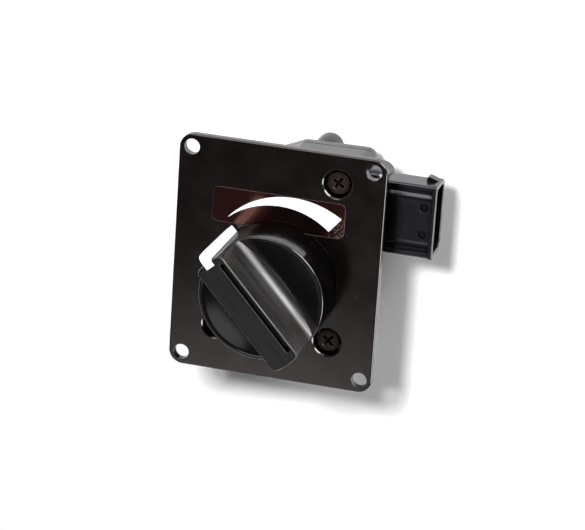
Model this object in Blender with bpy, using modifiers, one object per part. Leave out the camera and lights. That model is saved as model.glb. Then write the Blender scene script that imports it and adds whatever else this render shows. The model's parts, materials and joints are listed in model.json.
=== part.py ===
"""Panel-mounted rotary control with a bar-grip knob, a rectangular face plate
and a sealed multi-pin connector.

Frame: metres, +Z along the knob axis and out of the front of the panel, +X
towards the connector, +Y towards the scale. The origin is on the knob axis at
the level of the rear cover's round foot, which the unit lies on.
"""

from math import atan2, cos, pi, radians, sin, sqrt

import bmesh
import bpy
from mathutils import Matrix, Vector

MM = 0.001

# ---------------------------------------------------------------- dimensions
PLATE_WIDTH = 73.0 * MM
PLATE_HEIGHT = 84.0 * MM
PLATE_THICKNESS = 3.0 * MM
PLATE_CORNER = 5.0 * MM
PLATE_CENTRE_Y = 6.75 * MM
PLATE_FRONT = 38.0 * MM
PLATE_BACK = PLATE_FRONT - PLATE_THICKNESS
# A raised pad behind the plate has the housing's outline.
PAD_THICKNESS = 1.4 * MM
PAD_BACK = PLATE_BACK - PAD_THICKNESS
CORNER_HOLE_SPACING_X = 64.0 * MM
CORNER_HOLE_SPACING_Y = 75.0 * MM
CORNER_HOLE_RADIUS = 2.7 * MM

# Three screws hold the plate to the housing; each is an (x, y) position.
PLATE_SCREW_AT = [
    (19.6 * MM, 38.3 * MM),
    (19.8 * MM, -18.7 * MM),
    (-20.0 * MM, -18.7 * MM),
]
SCREW_HEAD_RADIUS = 4.2 * MM
SCREW_HEAD_HEIGHT = 1.8 * MM
SCREW_SHANK_RADIUS = 2.0 * MM
SCREW_LENGTH = 9.0 * MM
COUNTERBORE_RADIUS = 5.4 * MM
SEAT_RADIUS = 4.6 * MM
COUNTERBORE_DEPTH = 3.4 * MM

LABEL_WIDTH = 46.6 * MM
LABEL_HEIGHT = 12.3 * MM
LABEL_CENTRE = (-0.25 * MM, 25.4 * MM)
LABEL_CORNER = 2.0 * MM
LABEL_POCKET_DEPTH = 0.35 * MM
LABEL_THICKNESS = 0.30 * MM

WEDGE_INNER_RADIUS = 27.65 * MM
WEDGE_TIP_WIDTH = 0.12 * MM
WEDGE_END_WIDTH = 6.5 * MM
WEDGE_HALF_ANGLE = 39.9
WEDGE_THICKNESS = 0.12 * MM

# The pointer stands this far round from +Y at rest, anticlockwise.
POINTER_ANGLE = 43.0
TRAVEL = 86.0

SKIRT_RADIUS = 21.85 * MM
SKIRT_BOTTOM = PLATE_FRONT + 0.8 * MM
RIM_TOP = PLATE_FRONT + 17.7 * MM
GRIP_TOP = PLATE_FRONT + 33.5 * MM
GRIP_TOP_HALF_WIDTH = 5.4 * MM
GRIP_FOOT_HALF_WIDTH = 5.95 * MM
GRIP_END_RADIUS = 21.85 * MM
POINTER_WIDTH = 3.3 * MM
POINTER_OUTER = 25.3 * MM
POINTER_TOP_LENGTH = 5.65 * MM

HOUSING_FRONT = PAD_BACK - 0.3 * MM
HOUSING_BACK = 12.8 * MM
COVER_FRONT = 12.3 * MM
COVER_BACK = 8.0 * MM
HOUSING_WALL = 2.2 * MM
FRONT_WALL = 1.8 * MM

# Corners of the housing seen from the front, with the radius of each.
HOUSING_CORNERS = [
    (26.0 * MM, 43.7 * MM, 3.6 * MM),
    (0.5 * MM, 43.3 * MM, 2.5 * MM),
    (-14.5 * MM, 36.8 * MM, 6.0 * MM),
    (-27.5 * MM, 22.0 * MM, 8.0 * MM),
    (-27.5 * MM, -20.0 * MM, 8.0 * MM),
    (-18.0 * MM, -27.5 * MM, 8.0 * MM),
    (18.0 * MM, -27.5 * MM, 8.0 * MM),
    (26.0 * MM, -20.0 * MM, 8.0 * MM),
]

CONNECTOR_END = 51.2 * MM
CONNECTOR_Y = 25.15 * MM
CONNECTOR_Z = 19.1 * MM
CONNECTOR_HEIGHT = 25.9 * MM
CONNECTOR_DEPTH = 12.8 * MM
CONNECTOR_WALL = 1.5 * MM
CONNECTOR_FLOOR = 34.0 * MM
PIN_PITCH = 4.5 * MM
PIN_COUNT = 4

# Column centres for the cover screws; the first three also take the inserts.
COLUMN_AT = PLATE_SCREW_AT + [(-18.8 * MM, 23.5 * MM)]
COLUMN_RADIUS = 4.6 * MM

STUB_AT = (7.2 * MM, 39.4 * MM)
STUB_RADIUS = 4.8 * MM
FOOT_RADIUS = 13.0 * MM

SHAFT_RADIUS = 3.0 * MM
SHAFT_BORE_RADIUS = 3.08 * MM
SHAFT_BOTTOM = 17.6 * MM
SHAFT_TOP = 62.0 * MM
SHAFT_FLAT = 2.3 * MM

BOARD_BACK = 14.4 * MM
BOARD_FRONT = 16.0 * MM


# ------------------------------------------------------------------ helpers
def clear_scene():
    for item in list(bpy.data.objects):
        bpy.data.objects.remove(item, do_unlink=True)


def new_collection(name, hidden):
    group = bpy.data.collections.new(name)
    bpy.context.scene.collection.children.link(group)
    group.hide_render = hidden
    return group


def new_material(name, colour, roughness, metallic):
    material = bpy.data.materials.new(name)
    material.use_nodes = True
    shader = material.node_tree.nodes["Principled BSDF"]
    shader.inputs["Base Color"].default_value = (*colour, 1.0)
    shader.inputs["Roughness"].default_value = roughness
    shader.inputs["Metallic"].default_value = metallic
    return material


def link_mesh(name, mesh, group):
    item = bpy.data.objects.new(name, mesh)
    group.objects.link(item)
    return item


def mesh_from(build, name, group):
    """A new object whose mesh the given function fills."""
    shape = bmesh.new()
    build(shape)
    bmesh.ops.recalc_face_normals(shape, faces=shape.faces)
    mesh = bpy.data.meshes.new(name)
    shape.to_mesh(mesh)
    shape.free()
    return link_mesh(name, mesh, group)


def box(name, low, high, group, edge=0.0, steps=1):
    """A block between two corners, with its edges rounded by edge."""
    low = Vector(low)
    high = Vector(high)

    def build(shape):
        bmesh.ops.create_cube(shape, size=1.0)
        bmesh.ops.scale(shape, vec=high - low, verts=shape.verts)
        bmesh.ops.translate(shape, vec=(high + low) / 2, verts=shape.verts)
        if edge > 0:
            bmesh.ops.bevel(
                shape,
                geom=list(shape.edges),
                offset=edge,
                offset_type="OFFSET",
                segments=steps,
                profile=0.5,
                affect="EDGES",
            )

    return mesh_from(build, name, group)


def rod(name, radius, start, end, group, sides=32, end_radius=None):
    """A round bar between two points."""
    start = Vector(start)
    end = Vector(end)
    turn = Vector((0, 0, 1)).rotation_difference(end - start).to_matrix().to_4x4()
    place = Matrix.Translation((start + end) / 2) @ turn

    def build(shape):
        bmesh.ops.create_cone(
            shape,
            cap_ends=True,
            cap_tris=False,
            segments=sides,
            radius1=radius,
            radius2=radius if end_radius is None else end_radius,
            depth=(end - start).length,
            matrix=place,
        )

    return mesh_from(build, name, group)


def upright(name, radius, at, bottom, top, group, sides=32, top_radius=None):
    start = (at[0], at[1], bottom)
    end = (at[0], at[1], top)
    return rod(name, radius, start, end, group, sides, top_radius)


def slab(name, outline, bottom, top, group):
    """A flat plate of the given outline between two heights."""
    curve = bpy.data.curves.new(name, "CURVE")
    curve.dimensions = "2D"
    curve.fill_mode = "BOTH"
    curve.extrude = (top - bottom) / 2
    line = curve.splines.new("POLY")
    line.points.add(len(outline) - 1)
    for point, (x, y) in zip(line.points, outline):
        point.co = (x, y, 0, 1)
    line.use_cyclic_u = True
    drawn = bpy.data.objects.new(name + "_curve", curve)
    group.objects.link(drawn)
    bpy.context.view_layer.update()
    mesh = bpy.data.meshes.new_from_object(drawn)
    bpy.data.objects.remove(drawn, do_unlink=True)
    shape = bmesh.new()
    shape.from_mesh(mesh)
    bmesh.ops.remove_doubles(shape, verts=shape.verts, dist=1e-6)
    bmesh.ops.translate(shape, vec=(0, 0, (top + bottom) / 2), verts=shape.verts)
    bmesh.ops.recalc_face_normals(shape, faces=shape.faces)
    shape.to_mesh(mesh)
    shape.free()
    return link_mesh(name, mesh, group)


def turned(name, profile, at, group, steps=48):
    """A turned solid. Profile points are (radius, height), top to bottom on the outside."""
    mesh = bpy.data.meshes.new(name)
    points = [(radius, 0, height) for radius, height in profile]
    edges = [(i, i + 1) for i in range(len(points) - 1)]
    if profile[0][0] > 0:
        edges.append((len(points) - 1, 0))
    mesh.from_pydata(points, edges, [])
    item = link_mesh(name, mesh, group)
    item.location = (at[0], at[1], 0)
    screw = item.modifiers.new("turn", "SCREW")
    screw.steps = steps
    screw.render_steps = steps
    screw.use_merge_vertices = True
    screw.merge_threshold = 1e-6
    return item


def finished(item):
    """Turns an object's modifiers into plain geometry."""
    bpy.context.view_layer.update()
    graph = bpy.context.evaluated_depsgraph_get()
    mesh = bpy.data.meshes.new_from_object(item.evaluated_get(graph))
    shape = bmesh.new()
    shape.from_mesh(mesh)
    bmesh.ops.remove_doubles(shape, verts=shape.verts, dist=1e-6)
    bmesh.ops.dissolve_degenerate(shape, edges=shape.edges, dist=1e-6)
    bmesh.ops.recalc_face_normals(shape, faces=shape.faces)
    shape.to_mesh(mesh)
    shape.free()
    item.modifiers.clear()
    item.data = mesh
    return item


def combine(item, others, operation):
    for other in others:
        step = item.modifiers.new(operation.lower(), "BOOLEAN")
        step.operation = operation
        step.solver = "EXACT"
        step.object = other
        other.display_type = "WIRE"
        other.hide_render = True
    return finished(item)


def cut(item, others):
    return combine(item, others, "DIFFERENCE")


def fuse(item, others):
    return combine(item, others, "UNION")


def keep_inside(item, others):
    return combine(item, others, "INTERSECT")


def rounded_outline(corners, inset=0.0, steps=5):
    """The outline of a convex shape given by (x, y, radius) corners, moved in by inset."""
    count = len(corners)
    points = [Vector((x, y)) for x, y, _ in corners]
    area = sum(points[i - 1].cross(points[i]) for i in range(count))
    side = 1.0 if area > 0 else -1.0
    lines = []
    for i in range(count):
        along = (points[(i + 1) % count] - points[i]).normalized()
        inward = Vector((-along.y, along.x)) * side
        lines.append((points[i] + inward * inset, along))
    outline = []
    for i in range(count):
        start_a, along_a = lines[i - 1]
        start_b, along_b = lines[i]
        reach = (start_b - start_a).cross(along_b) / along_a.cross(along_b)
        corner = start_a + along_a * reach
        radius = max(corners[i][2] - inset, 0.4 * MM)
        bend = along_a.angle(along_b)
        back = radius * sin(bend / 2) / cos(bend / 2)
        first = corner - along_a * back
        inward = Vector((-along_a.y, along_a.x)) * side
        centre = first + inward * radius
        spoke = first - centre
        for k in range(steps + 1):
            turn = Matrix.Rotation(side * bend * k / steps, 2)
            spot = centre + turn @ spoke
            outline.append((spot.x, spot.y))
    return outline


def rectangle(width, height, centre, radius):
    x, y = centre
    half_w = width / 2
    half_h = height / 2
    return [
        (x + half_w, y + half_h, radius),
        (x - half_w, y + half_h, radius),
        (x - half_w, y - half_h, radius),
        (x + half_w, y - half_h, radius),
    ]


def ring_sector(inner, outer, start, stop, steps):
    """Outline of part of a ring; outer is a radius or a function of the share of the way."""
    points = []
    for k in range(steps + 1):
        angle = radians(start + (stop - start) * k / steps)
        points.append((inner * cos(angle), inner * sin(angle)))
    for k in range(steps, -1, -1):
        angle = radians(start + (stop - start) * k / steps)
        radius = outer(k / steps) if callable(outer) else outer
        points.append((radius * cos(angle), radius * sin(angle)))
    return points


def chamfer_end(item, outline, inset_outline, end, cut_at):
    """Draws one end of a slab in to a smaller outline, from the height cut_at."""
    shape = bmesh.new()
    shape.from_mesh(item.data)
    geometry = list(shape.verts) + list(shape.edges) + list(shape.faces)
    bmesh.ops.bisect_plane(
        shape, geom=geometry, dist=1e-7, plane_co=(0, 0, cut_at), plane_no=(0, 0, 1)
    )
    for vertex in shape.verts:
        if abs(vertex.co.z - end) > 1e-6:
            continue
        gaps = [(vertex.co.x - x) ** 2 + (vertex.co.y - y) ** 2 for x, y in outline]
        x, y = inset_outline[gaps.index(min(gaps))]
        vertex.co.x = x
        vertex.co.y = y
    bmesh.ops.recalc_face_normals(shape, faces=shape.faces)
    shape.to_mesh(item.data)
    shape.free()
    return item


def turn_about_z(item, angle):
    item.data.transform(Matrix.Rotation(radians(angle), 4, "Z"))
    return item


def dress(item, material, sharp_above=32):
    """Gives a part its material and smooth shading with sharp corners."""
    item.data.materials.clear()
    item.data.materials.append(material)
    item.data.shade_smooth()
    item.data.set_sharp_from_angle(angle=radians(sharp_above))
    return item


clear_scene()
UNIT = new_collection("rotary_control_switch", False)
TOOLS = new_collection("shaping_tools", True)

MATERIAL = {
    "plate_plastic": new_material("plate_plastic", (0.018, 0.014, 0.013), 0.28, 0.0),
    "label_film": new_material("label_film", (0.055, 0.022, 0.016), 0.12, 0.0),
    "white_ink": new_material("white_ink", (0.86, 0.86, 0.85), 0.5, 0.0),
    "knob_plastic": new_material("knob_plastic", (0.014, 0.014, 0.015), 0.3, 0.0),
    "pointer_white": new_material("pointer_white", (0.88, 0.88, 0.87), 0.45, 0.0),
    "housing_plastic": new_material("housing_plastic", (0.03, 0.03, 0.034), 0.4, 0.0),
    "screw_bronze": new_material("screw_bronze", (0.09, 0.055, 0.04), 0.38, 1.0),
    "brass": new_material("brass", (0.65, 0.48, 0.2), 0.3, 1.0),
    "steel": new_material("steel", (0.5, 0.5, 0.5), 0.3, 1.0),
    "seal_rubber": new_material("seal_rubber", (0.02, 0.02, 0.02), 0.7, 0.0),
    "rotor_nylon": new_material("rotor_nylon", (0.72, 0.7, 0.64), 0.5, 0.0),
    "board_laminate": new_material("board_laminate", (0.05, 0.2, 0.08), 0.5, 0.0),
    "carbon_ink": new_material("carbon_ink", (0.02, 0.02, 0.02), 0.6, 0.0),
    "silver_ink": new_material("silver_ink", (0.7, 0.7, 0.7), 0.4, 1.0),
    "tinned_copper": new_material("tinned_copper", (0.75, 0.7, 0.62), 0.3, 1.0),
}


# --------------------------------------------------------------- face plate
def make_face_plate():
    corners = rectangle(PLATE_WIDTH, PLATE_HEIGHT, (0, PLATE_CENTRE_Y), PLATE_CORNER)
    low = PLATE_BACK
    plate = slab("face_plate", rounded_outline(corners, steps=6), low, PLATE_FRONT, UNIT)
    soften = plate.modifiers.new("soft_edge", "BEVEL")
    soften.width = 0.35 * MM
    soften.segments = 2
    soften.limit_method = "ANGLE"
    soften.angle_limit = radians(50)
    finished(plate)
    outline = rounded_outline(HOUSING_CORNERS)
    fuse(plate, [slab("pad", outline, PAD_BACK, low + 1 * MM, TOOLS)])
    low = PAD_BACK
    tools = []
    for sx in (-1, 1):
        for sy in (-1, 1):
            at = (
                sx * CORNER_HOLE_SPACING_X / 2,
                PLATE_CENTRE_Y + sy * CORNER_HOLE_SPACING_Y / 2,
            )
            bottom = low - 1 * MM
            top = PLATE_FRONT + 1 * MM
            tools.append(upright("hole_tool", CORNER_HOLE_RADIUS, at, bottom, top, TOOLS))
    for at in PLATE_SCREW_AT:
        floor = PLATE_FRONT - COUNTERBORE_DEPTH
        top = PLATE_FRONT + 1 * MM
        slope = (COUNTERBORE_RADIUS - SEAT_RADIUS) / COUNTERBORE_DEPTH
        mouth = COUNTERBORE_RADIUS + slope * MM
        tools.append(
            upright("seat_tool", SEAT_RADIUS, at, floor, top, TOOLS, 36, mouth)
        )
        bottom = low - 1 * MM
        tools.append(upright("shank_tool", 2.3 * MM, at, bottom, top, TOOLS, 24))
    tools.append(upright("bore_tool", 5.9 * MM, (0, 0), low - 1 * MM, 0.05, TOOLS, 40))
    pocket = rectangle(
        LABEL_WIDTH + 0.2 * MM, LABEL_HEIGHT + 0.2 * MM, LABEL_CENTRE, LABEL_CORNER
    )
    floor = PLATE_FRONT - LABEL_POCKET_DEPTH
    outline = rounded_outline(pocket, steps=5)
    tools.append(slab("pocket_tool", outline, floor, PLATE_FRONT + 1 * MM, TOOLS))
    cut(plate, tools)
    return dress(plate, MATERIAL["plate_plastic"])


def make_label():
    corners = rectangle(LABEL_WIDTH, LABEL_HEIGHT, LABEL_CENTRE, LABEL_CORNER)
    floor = PLATE_FRONT - LABEL_POCKET_DEPTH + 0.03 * MM
    top = floor + LABEL_THICKNESS
    label = slab("scale_label", rounded_outline(corners, steps=5), floor, top, UNIT)
    return dress(label, MATERIAL["label_film"])


def make_wedge():
    """The white crescent that shows the setting, growing wider clockwise."""
    start = 90.0 + WEDGE_HALF_ANGLE
    stop = 90.0 - WEDGE_HALF_ANGLE

    def outer(share):
        width = WEDGE_TIP_WIDTH + (WEDGE_END_WIDTH - WEDGE_TIP_WIDTH) * share
        return WEDGE_INNER_RADIUS + width

    outline = ring_sector(WEDGE_INNER_RADIUS, outer, start, stop, 32)
    floor = PLATE_FRONT - LABEL_POCKET_DEPTH + LABEL_THICKNESS + 0.06 * MM
    wedge = slab("scale_wedge", outline, floor, floor + WEDGE_THICKNESS, UNIT)
    return dress(wedge, MATERIAL["white_ink"])


def make_plate_screw(number, at):
    """A pan-head screw with a cross recess."""
    seat = PLATE_FRONT - COUNTERBORE_DEPTH + 0.05 * MM
    top = seat + SCREW_HEAD_HEIGHT
    head = SCREW_HEAD_RADIUS
    shank = SCREW_SHANK_RADIUS
    tip = seat - SCREW_LENGTH
    profile = [
        (0, top),
        (head * 0.55, top - 0.08 * MM),
        (head * 0.85, top - 0.35 * MM),
        (head, top - 0.8 * MM),
        (head, seat),
        (shank, seat),
        (shank, tip + 0.5 * MM),
        (shank * 0.7, tip),
        (0, tip),
    ]
    name = "plate_screw_" + str(number)
    screw = finished(turned(name, profile, at, UNIT, 28))
    tools = []
    for turn in (38, 128):
        arm = box(
            "cross_tool",
            (-2.1 * MM, -0.42 * MM, -1.0 * MM),
            (2.1 * MM, 0.42 * MM, 1.0 * MM),
            TOOLS,
        )
        turn_about_z(arm, turn)
        arm.location = (0, 0, top + 0.05 * MM)
        tools.append(arm)
    well = upright("well_tool", 0.7 * MM, (0, 0), top - 1.3 * MM, top + 1 * MM, TOOLS, 12)
    tools.append(well)
    screw.location = (0, 0, 0)
    cut(screw, tools)
    screw.location = (at[0], at[1], 0)
    return dress(screw, MATERIAL["screw_bronze"])


# -------------------------------------------------------------- housing box
def column_tools(add, group):
    return [
        upright("column", COLUMN_RADIUS, at, HOUSING_BACK, add, group, 28)
        for at in COLUMN_AT
    ]


def connector_outline(inset, steps=4):
    """The connector shroud's section, as (y, z) with the back corners rounder."""
    half_y = CONNECTOR_HEIGHT / 2
    half_z = CONNECTOR_DEPTH / 2
    corners = [
        (half_y, half_z, 1.8 * MM),
        (-half_y, half_z, 1.8 * MM),
        (-half_y, -half_z, 3.6 * MM),
        (half_y, -half_z, 3.6 * MM),
    ]
    return rounded_outline(corners, inset, steps)


def along_x(item):
    """Stands a slab on edge, so that its outline faces +X at the connector's centre."""
    turn = Matrix(((0, 0, 1, 0), (1, 0, 0, 0), (0, 1, 0, 0), (0, 0, 0, 1)))
    item.data.transform(turn)
    shift = Matrix.Translation((0, CONNECTOR_Y, CONNECTOR_Z))
    item.data.transform(shift)
    return item


def make_housing():
    outer = rounded_outline(HOUSING_CORNERS)
    inner = rounded_outline(HOUSING_CORNERS, HOUSING_WALL)
    shell = slab("housing", outer, HOUSING_BACK, HOUSING_FRONT, UNIT)
    roof = HOUSING_FRONT - FRONT_WALL
    room = slab("room_tool", inner, HOUSING_BACK - 5 * MM, roof, TOOLS)
    cut(shell, [room])

    # Everything that is added stands clear of the room's open back.
    added = column_tools(HOUSING_FRONT - 1 * MM, TOOLS)
    shoulder = rectangle(9.0 * MM, 30.0 * MM, (29.0 * MM, 25.9 * MM), 4.0 * MM)
    top = CONNECTOR_Z + CONNECTOR_DEPTH / 2 + 0.7 * MM
    outline = rounded_outline(shoulder)
    added.append(slab("shoulder", outline, HOUSING_BACK, top, TOOLS))
    added.append(
        along_x(slab("shroud", connector_outline(0), 30 * MM, 50 * MM, TOOLS))
    )
    lip = slab("lip", connector_outline(-0.35 * MM), 49.8 * MM, CONNECTOR_END, TOOLS)
    added.append(along_x(lip))
    edge = CONNECTOR_Y + CONNECTOR_HEIGHT / 2
    ramp = slab(
        "ramp",
        [
            (46.2 * MM, edge - 0.5 * MM),
            (46.6 * MM, edge + 1.8 * MM),
            (47.4 * MM, edge + 1.9 * MM),
            (51.0 * MM, edge + 0.3 * MM),
            (51.0 * MM, edge - 0.5 * MM),
        ],
        CONNECTOR_Z - 2.8 * MM,
        CONNECTOR_Z + 2.8 * MM,
        TOOLS,
    )
    added.append(ramp)
    start = 180.0 + 90.0 + POINTER_ANGLE
    spread = 15.1
    for angle in (start + spread, start - TRAVEL - spread):
        at = (16.0 * MM * cos(radians(angle)), 16.0 * MM * sin(radians(angle)))
        added.append(
            upright("stop_post", 2.0 * MM, at, 20.6 * MM, roof + 1 * MM, TOOLS, 20)
        )
    fuse(shell, added)

    tools = []
    for at in PLATE_SCREW_AT:
        bottom = HOUSING_FRONT - 8.4 * MM
        top = HOUSING_FRONT + 1 * MM
        tools.append(upright("insert_tool", 3.0 * MM, at, bottom, top, TOOLS, 28))
    for at in COLUMN_AT:
        bottom = HOUSING_BACK - 1 * MM
        tools.append(upright("pilot_tool", 1.55 * MM, at, bottom, 21 * MM, TOOLS, 16))
    bottom = roof - 1 * MM
    top = HOUSING_FRONT + 1 * MM
    tools.append(upright("bush_tool", 5.8 * MM, (0, 0), bottom, top, TOOLS, 40))
    half_y = CONNECTOR_HEIGHT / 2 - CONNECTOR_WALL
    half_z = CONNECTOR_DEPTH / 2 - CONNECTOR_WALL
    socket = rounded_outline(
        [
            (half_y, half_z, 1.0 * MM),
            (-half_y, half_z, 1.0 * MM),
            (-half_y, -half_z, 2.2 * MM),
            (half_y, -half_z, 2.2 * MM),
        ],
        0,
        3,
    )
    cavity = slab("socket_tool", socket, CONNECTOR_FLOOR, CONNECTOR_END + 1 * MM, TOOLS)
    tools.append(along_x(cavity))
    for k in range(PIN_COUNT):
        y = CONNECTOR_Y + (k - (PIN_COUNT - 1) / 2) * PIN_PITCH
        low = (22.5 * MM, y - 0.95 * MM, CONNECTOR_Z - 0.55 * MM)
        high = (CONNECTOR_FLOOR + 1 * MM, y + 0.95 * MM, CONNECTOR_Z + 0.55 * MM)
        tools.append(box("pin_slot_tool", low, high, TOOLS))
    face = CONNECTOR_Z + CONNECTOR_DEPTH / 2
    for y in (CONNECTOR_Y + 10.5 * MM, CONNECTOR_Y - 10.5 * MM):
        groove = rectangle(16.4 * MM, 1.5 * MM, (41.5 * MM, y), 0.6 * MM)
        outline = rounded_outline(groove, steps=2)
        tools.append(slab("groove_tool", outline, face - 0.7 * MM, face + 2 * MM, TOOLS))
    for y in (30.2 * MM, 20.5 * MM):
        bottom = face - 0.25 * MM
        top = face + 1 * MM
        at = (47.4 * MM, y)
        tools.append(upright("eject_tool", 1.5 * MM, at, bottom, top, TOOLS, 20))
    ring = turned(
        "seal_groove_tool",
        [
            (14.9 * MM, HOUSING_FRONT + 1 * MM),
            (14.9 * MM, HOUSING_FRONT - 1.0 * MM),
            (13.1 * MM, HOUSING_FRONT - 1.0 * MM),
            (13.1 * MM, HOUSING_FRONT + 1 * MM),
        ],
        (0, 0),
        TOOLS,
    )
    tools.append(finished(ring))
    cut(shell, tools)
    return dress(shell, MATERIAL["housing_plastic"])


def make_insert(number, at):
    top = HOUSING_FRONT - 0.1 * MM
    bottom = HOUSING_FRONT - 8.0 * MM
    outer = 2.9 * MM
    waist = 2.6 * MM
    profile = [
        (outer, top),
        (outer, top - 3.2 * MM),
        (waist, top - 3.5 * MM),
        (waist, top - 4.3 * MM),
        (outer, top - 4.6 * MM),
        (outer, bottom),
        (2.12 * MM, bottom),
        (2.12 * MM, top),
    ]
    insert = finished(turned("threaded_insert_" + str(number), profile, at, UNIT, 28))
    return dress(insert, MATERIAL["brass"])


def make_cover():
    outline = rounded_outline(HOUSING_CORNERS)
    cover = slab("rear_cover", outline, COVER_BACK, COVER_FRONT, UNIT)
    smaller = rounded_outline(HOUSING_CORNERS, 0.9 * MM)
    chamfer_end(cover, outline, smaller, COVER_BACK, COVER_BACK + 0.9 * MM)
    added = [
        upright("stub", STUB_RADIUS, STUB_AT, 0, COVER_BACK + 1 * MM, TOOLS, 36),
        upright("foot", FOOT_RADIUS, (0, 0), 0, COVER_BACK + 1 * MM, TOOLS, 48),
    ]
    for x, y in ((-11.5, -11.0), (20.5, -10.5), (-11.5, 20.0), (14.0, 31.0)):
        at = (x * MM, y * MM)
        top = BOARD_BACK - 0.1 * MM
        added.append(upright("pad", 1.8 * MM, at, COVER_FRONT - 1 * MM, top, TOOLS, 16))
    fuse(cover, added)
    tools = []
    for at in COLUMN_AT:
        top = COVER_BACK + 2.0 * MM
        tools.append(upright("seat_tool", 3.2 * MM, at, COVER_BACK - 1 * MM, top, TOOLS, 24))
        top = COVER_FRONT + 1 * MM
        tools.append(upright("shank_tool", 1.7 * MM, at, COVER_BACK, top, TOOLS, 16))
    tools.append(upright("stub_tool", 1.6 * MM, STUB_AT, -1 * MM, 6.0 * MM, TOOLS, 16))
    cut(cover, tools)
    return dress(cover, MATERIAL["housing_plastic"])


def make_ring_slab(name, corners, inset, width, bottom, top, material):
    band = slab(name, rounded_outline(corners, inset), bottom, top, UNIT)
    inside = rounded_outline(corners, inset + width)
    cut(band, [slab(name + "_tool", inside, bottom - 1 * MM, top + 1 * MM, TOOLS)])
    return dress(band, MATERIAL[material])


def make_cover_screw(number, at):
    head = COVER_BACK + 0.15 * MM
    seat = COVER_BACK + 1.95 * MM
    profile = [
        (0, 19.0 * MM),
        (0.5 * MM, 19.0 * MM),
        (1.4 * MM, 17.6 * MM),
        (1.4 * MM, seat),
        (2.8 * MM, seat),
        (2.8 * MM, head + 0.6 * MM),
        (2.1 * MM, head),
        (0, head),
    ]
    name = "cover_screw_" + str(number)
    screw = finished(turned(name, profile, (0, 0), UNIT, 20))
    tools = []
    for turn in (20, 110):
        arm = box(
            "cross_tool",
            (-1.5 * MM, -0.3 * MM, -0.8 * MM),
            (1.5 * MM, 0.3 * MM, 0.8 * MM),
            TOOLS,
        )
        turn_about_z(arm, turn + 17 * number)
        arm.location = (0, 0, head)
        tools.append(arm)
    cut(screw, tools)
    screw.location = (at[0], at[1], 0)
    return dress(screw, MATERIAL["steel"])


# -------------------------------------------------- shaft, bush and contacts
def make_bush():
    roof = HOUSING_FRONT - FRONT_WALL
    flange = roof - 0.2 * MM
    profile = [
        (5.5 * MM, 36.3 * MM),
        (5.5 * MM, flange),
        (8.0 * MM, flange),
        (8.0 * MM, flange - 2.0 * MM),
        (SHAFT_BORE_RADIUS, flange - 2.0 * MM),
        (SHAFT_BORE_RADIUS, 36.3 * MM),
    ]
    bush = finished(turned("shaft_bush", profile, (0, 0), UNIT, 48))
    return dress(bush, MATERIAL["brass"])


def make_torus(name, major, minor, centre_z, material, steps=32):
    profile = []
    for k in range(8):
        angle = -2 * pi * k / 8 + pi / 2
        profile.append((major + minor * cos(angle), centre_z + minor * sin(angle)))
    ring = finished(turned(name, profile, (0, 0), UNIT, steps))
    return dress(ring, MATERIAL[material], 60)


def d_outline(radius, flat, sides=40):
    """A circle with one side cut flat at the given distance from the centre."""
    points = []
    half = atan2(sqrt(radius * radius - flat * flat), flat)
    for k in range(sides + 1):
        angle = half + (2 * pi - 2 * half) * k / sides
        points.append((radius * cos(angle), radius * sin(angle)))
    return points


def make_shaft():
    low = SHAFT_BOTTOM
    profile = [
        (0, SHAFT_TOP),
        (SHAFT_RADIUS - 0.4 * MM, SHAFT_TOP),
        (SHAFT_RADIUS, SHAFT_TOP - 0.4 * MM),
        (SHAFT_RADIUS, 28.2 * MM),
        (2.4 * MM, 28.2 * MM),
        (2.4 * MM, 27.4 * MM),
        (SHAFT_RADIUS, 27.4 * MM),
        (SHAFT_RADIUS, low),
        (0, low),
    ]
    shaft = finished(turned("control_shaft", profile, (0, 0), UNIT, 40))
    tools = []
    for bottom, top in ((39.1 * MM, SHAFT_TOP + 1 * MM), (low - 1 * MM, 24.4 * MM)):
        tool = box(
            "flat_tool",
            (SHAFT_FLAT, -5 * MM, bottom),
            (SHAFT_FLAT + 5 * MM, 5 * MM, top),
            TOOLS,
        )
        tools.append(turn_about_z(tool, POINTER_ANGLE))
    cut(shaft, tools)
    return dress(shaft, MATERIAL["steel"])


def make_retaining_ring():
    name = "retaining_ring"
    ring = upright(name, 5.2 * MM, (0, 0), 27.5 * MM, 28.1 * MM, UNIT, 32)
    mouth = box("mouth_tool", (0, -1.9 * MM, 27 * MM), (8 * MM, 1.9 * MM, 29 * MM), TOOLS)
    turn_about_z(mouth, 200)
    hole = upright("hole_tool", 2.5 * MM, (0, 0), 27 * MM, 29 * MM, TOOLS, 28)
    cut(ring, [hole, mouth])
    return dress(ring, MATERIAL["steel"])


def make_wave_washer():
    name = "wave_washer"
    profile = [
        (6.6 * MM, 28.95 * MM),
        (6.6 * MM, 28.65 * MM),
        (3.4 * MM, 28.65 * MM),
        (3.4 * MM, 28.95 * MM),
    ]
    washer = finished(turned(name, profile, (0, 0), UNIT, 48))
    for vertex in washer.data.vertices:
        angle = atan2(vertex.co.y, vertex.co.x)
        vertex.co.z += 0.25 * MM * sin(3 * angle)
    return dress(washer, MATERIAL["steel"])


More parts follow.
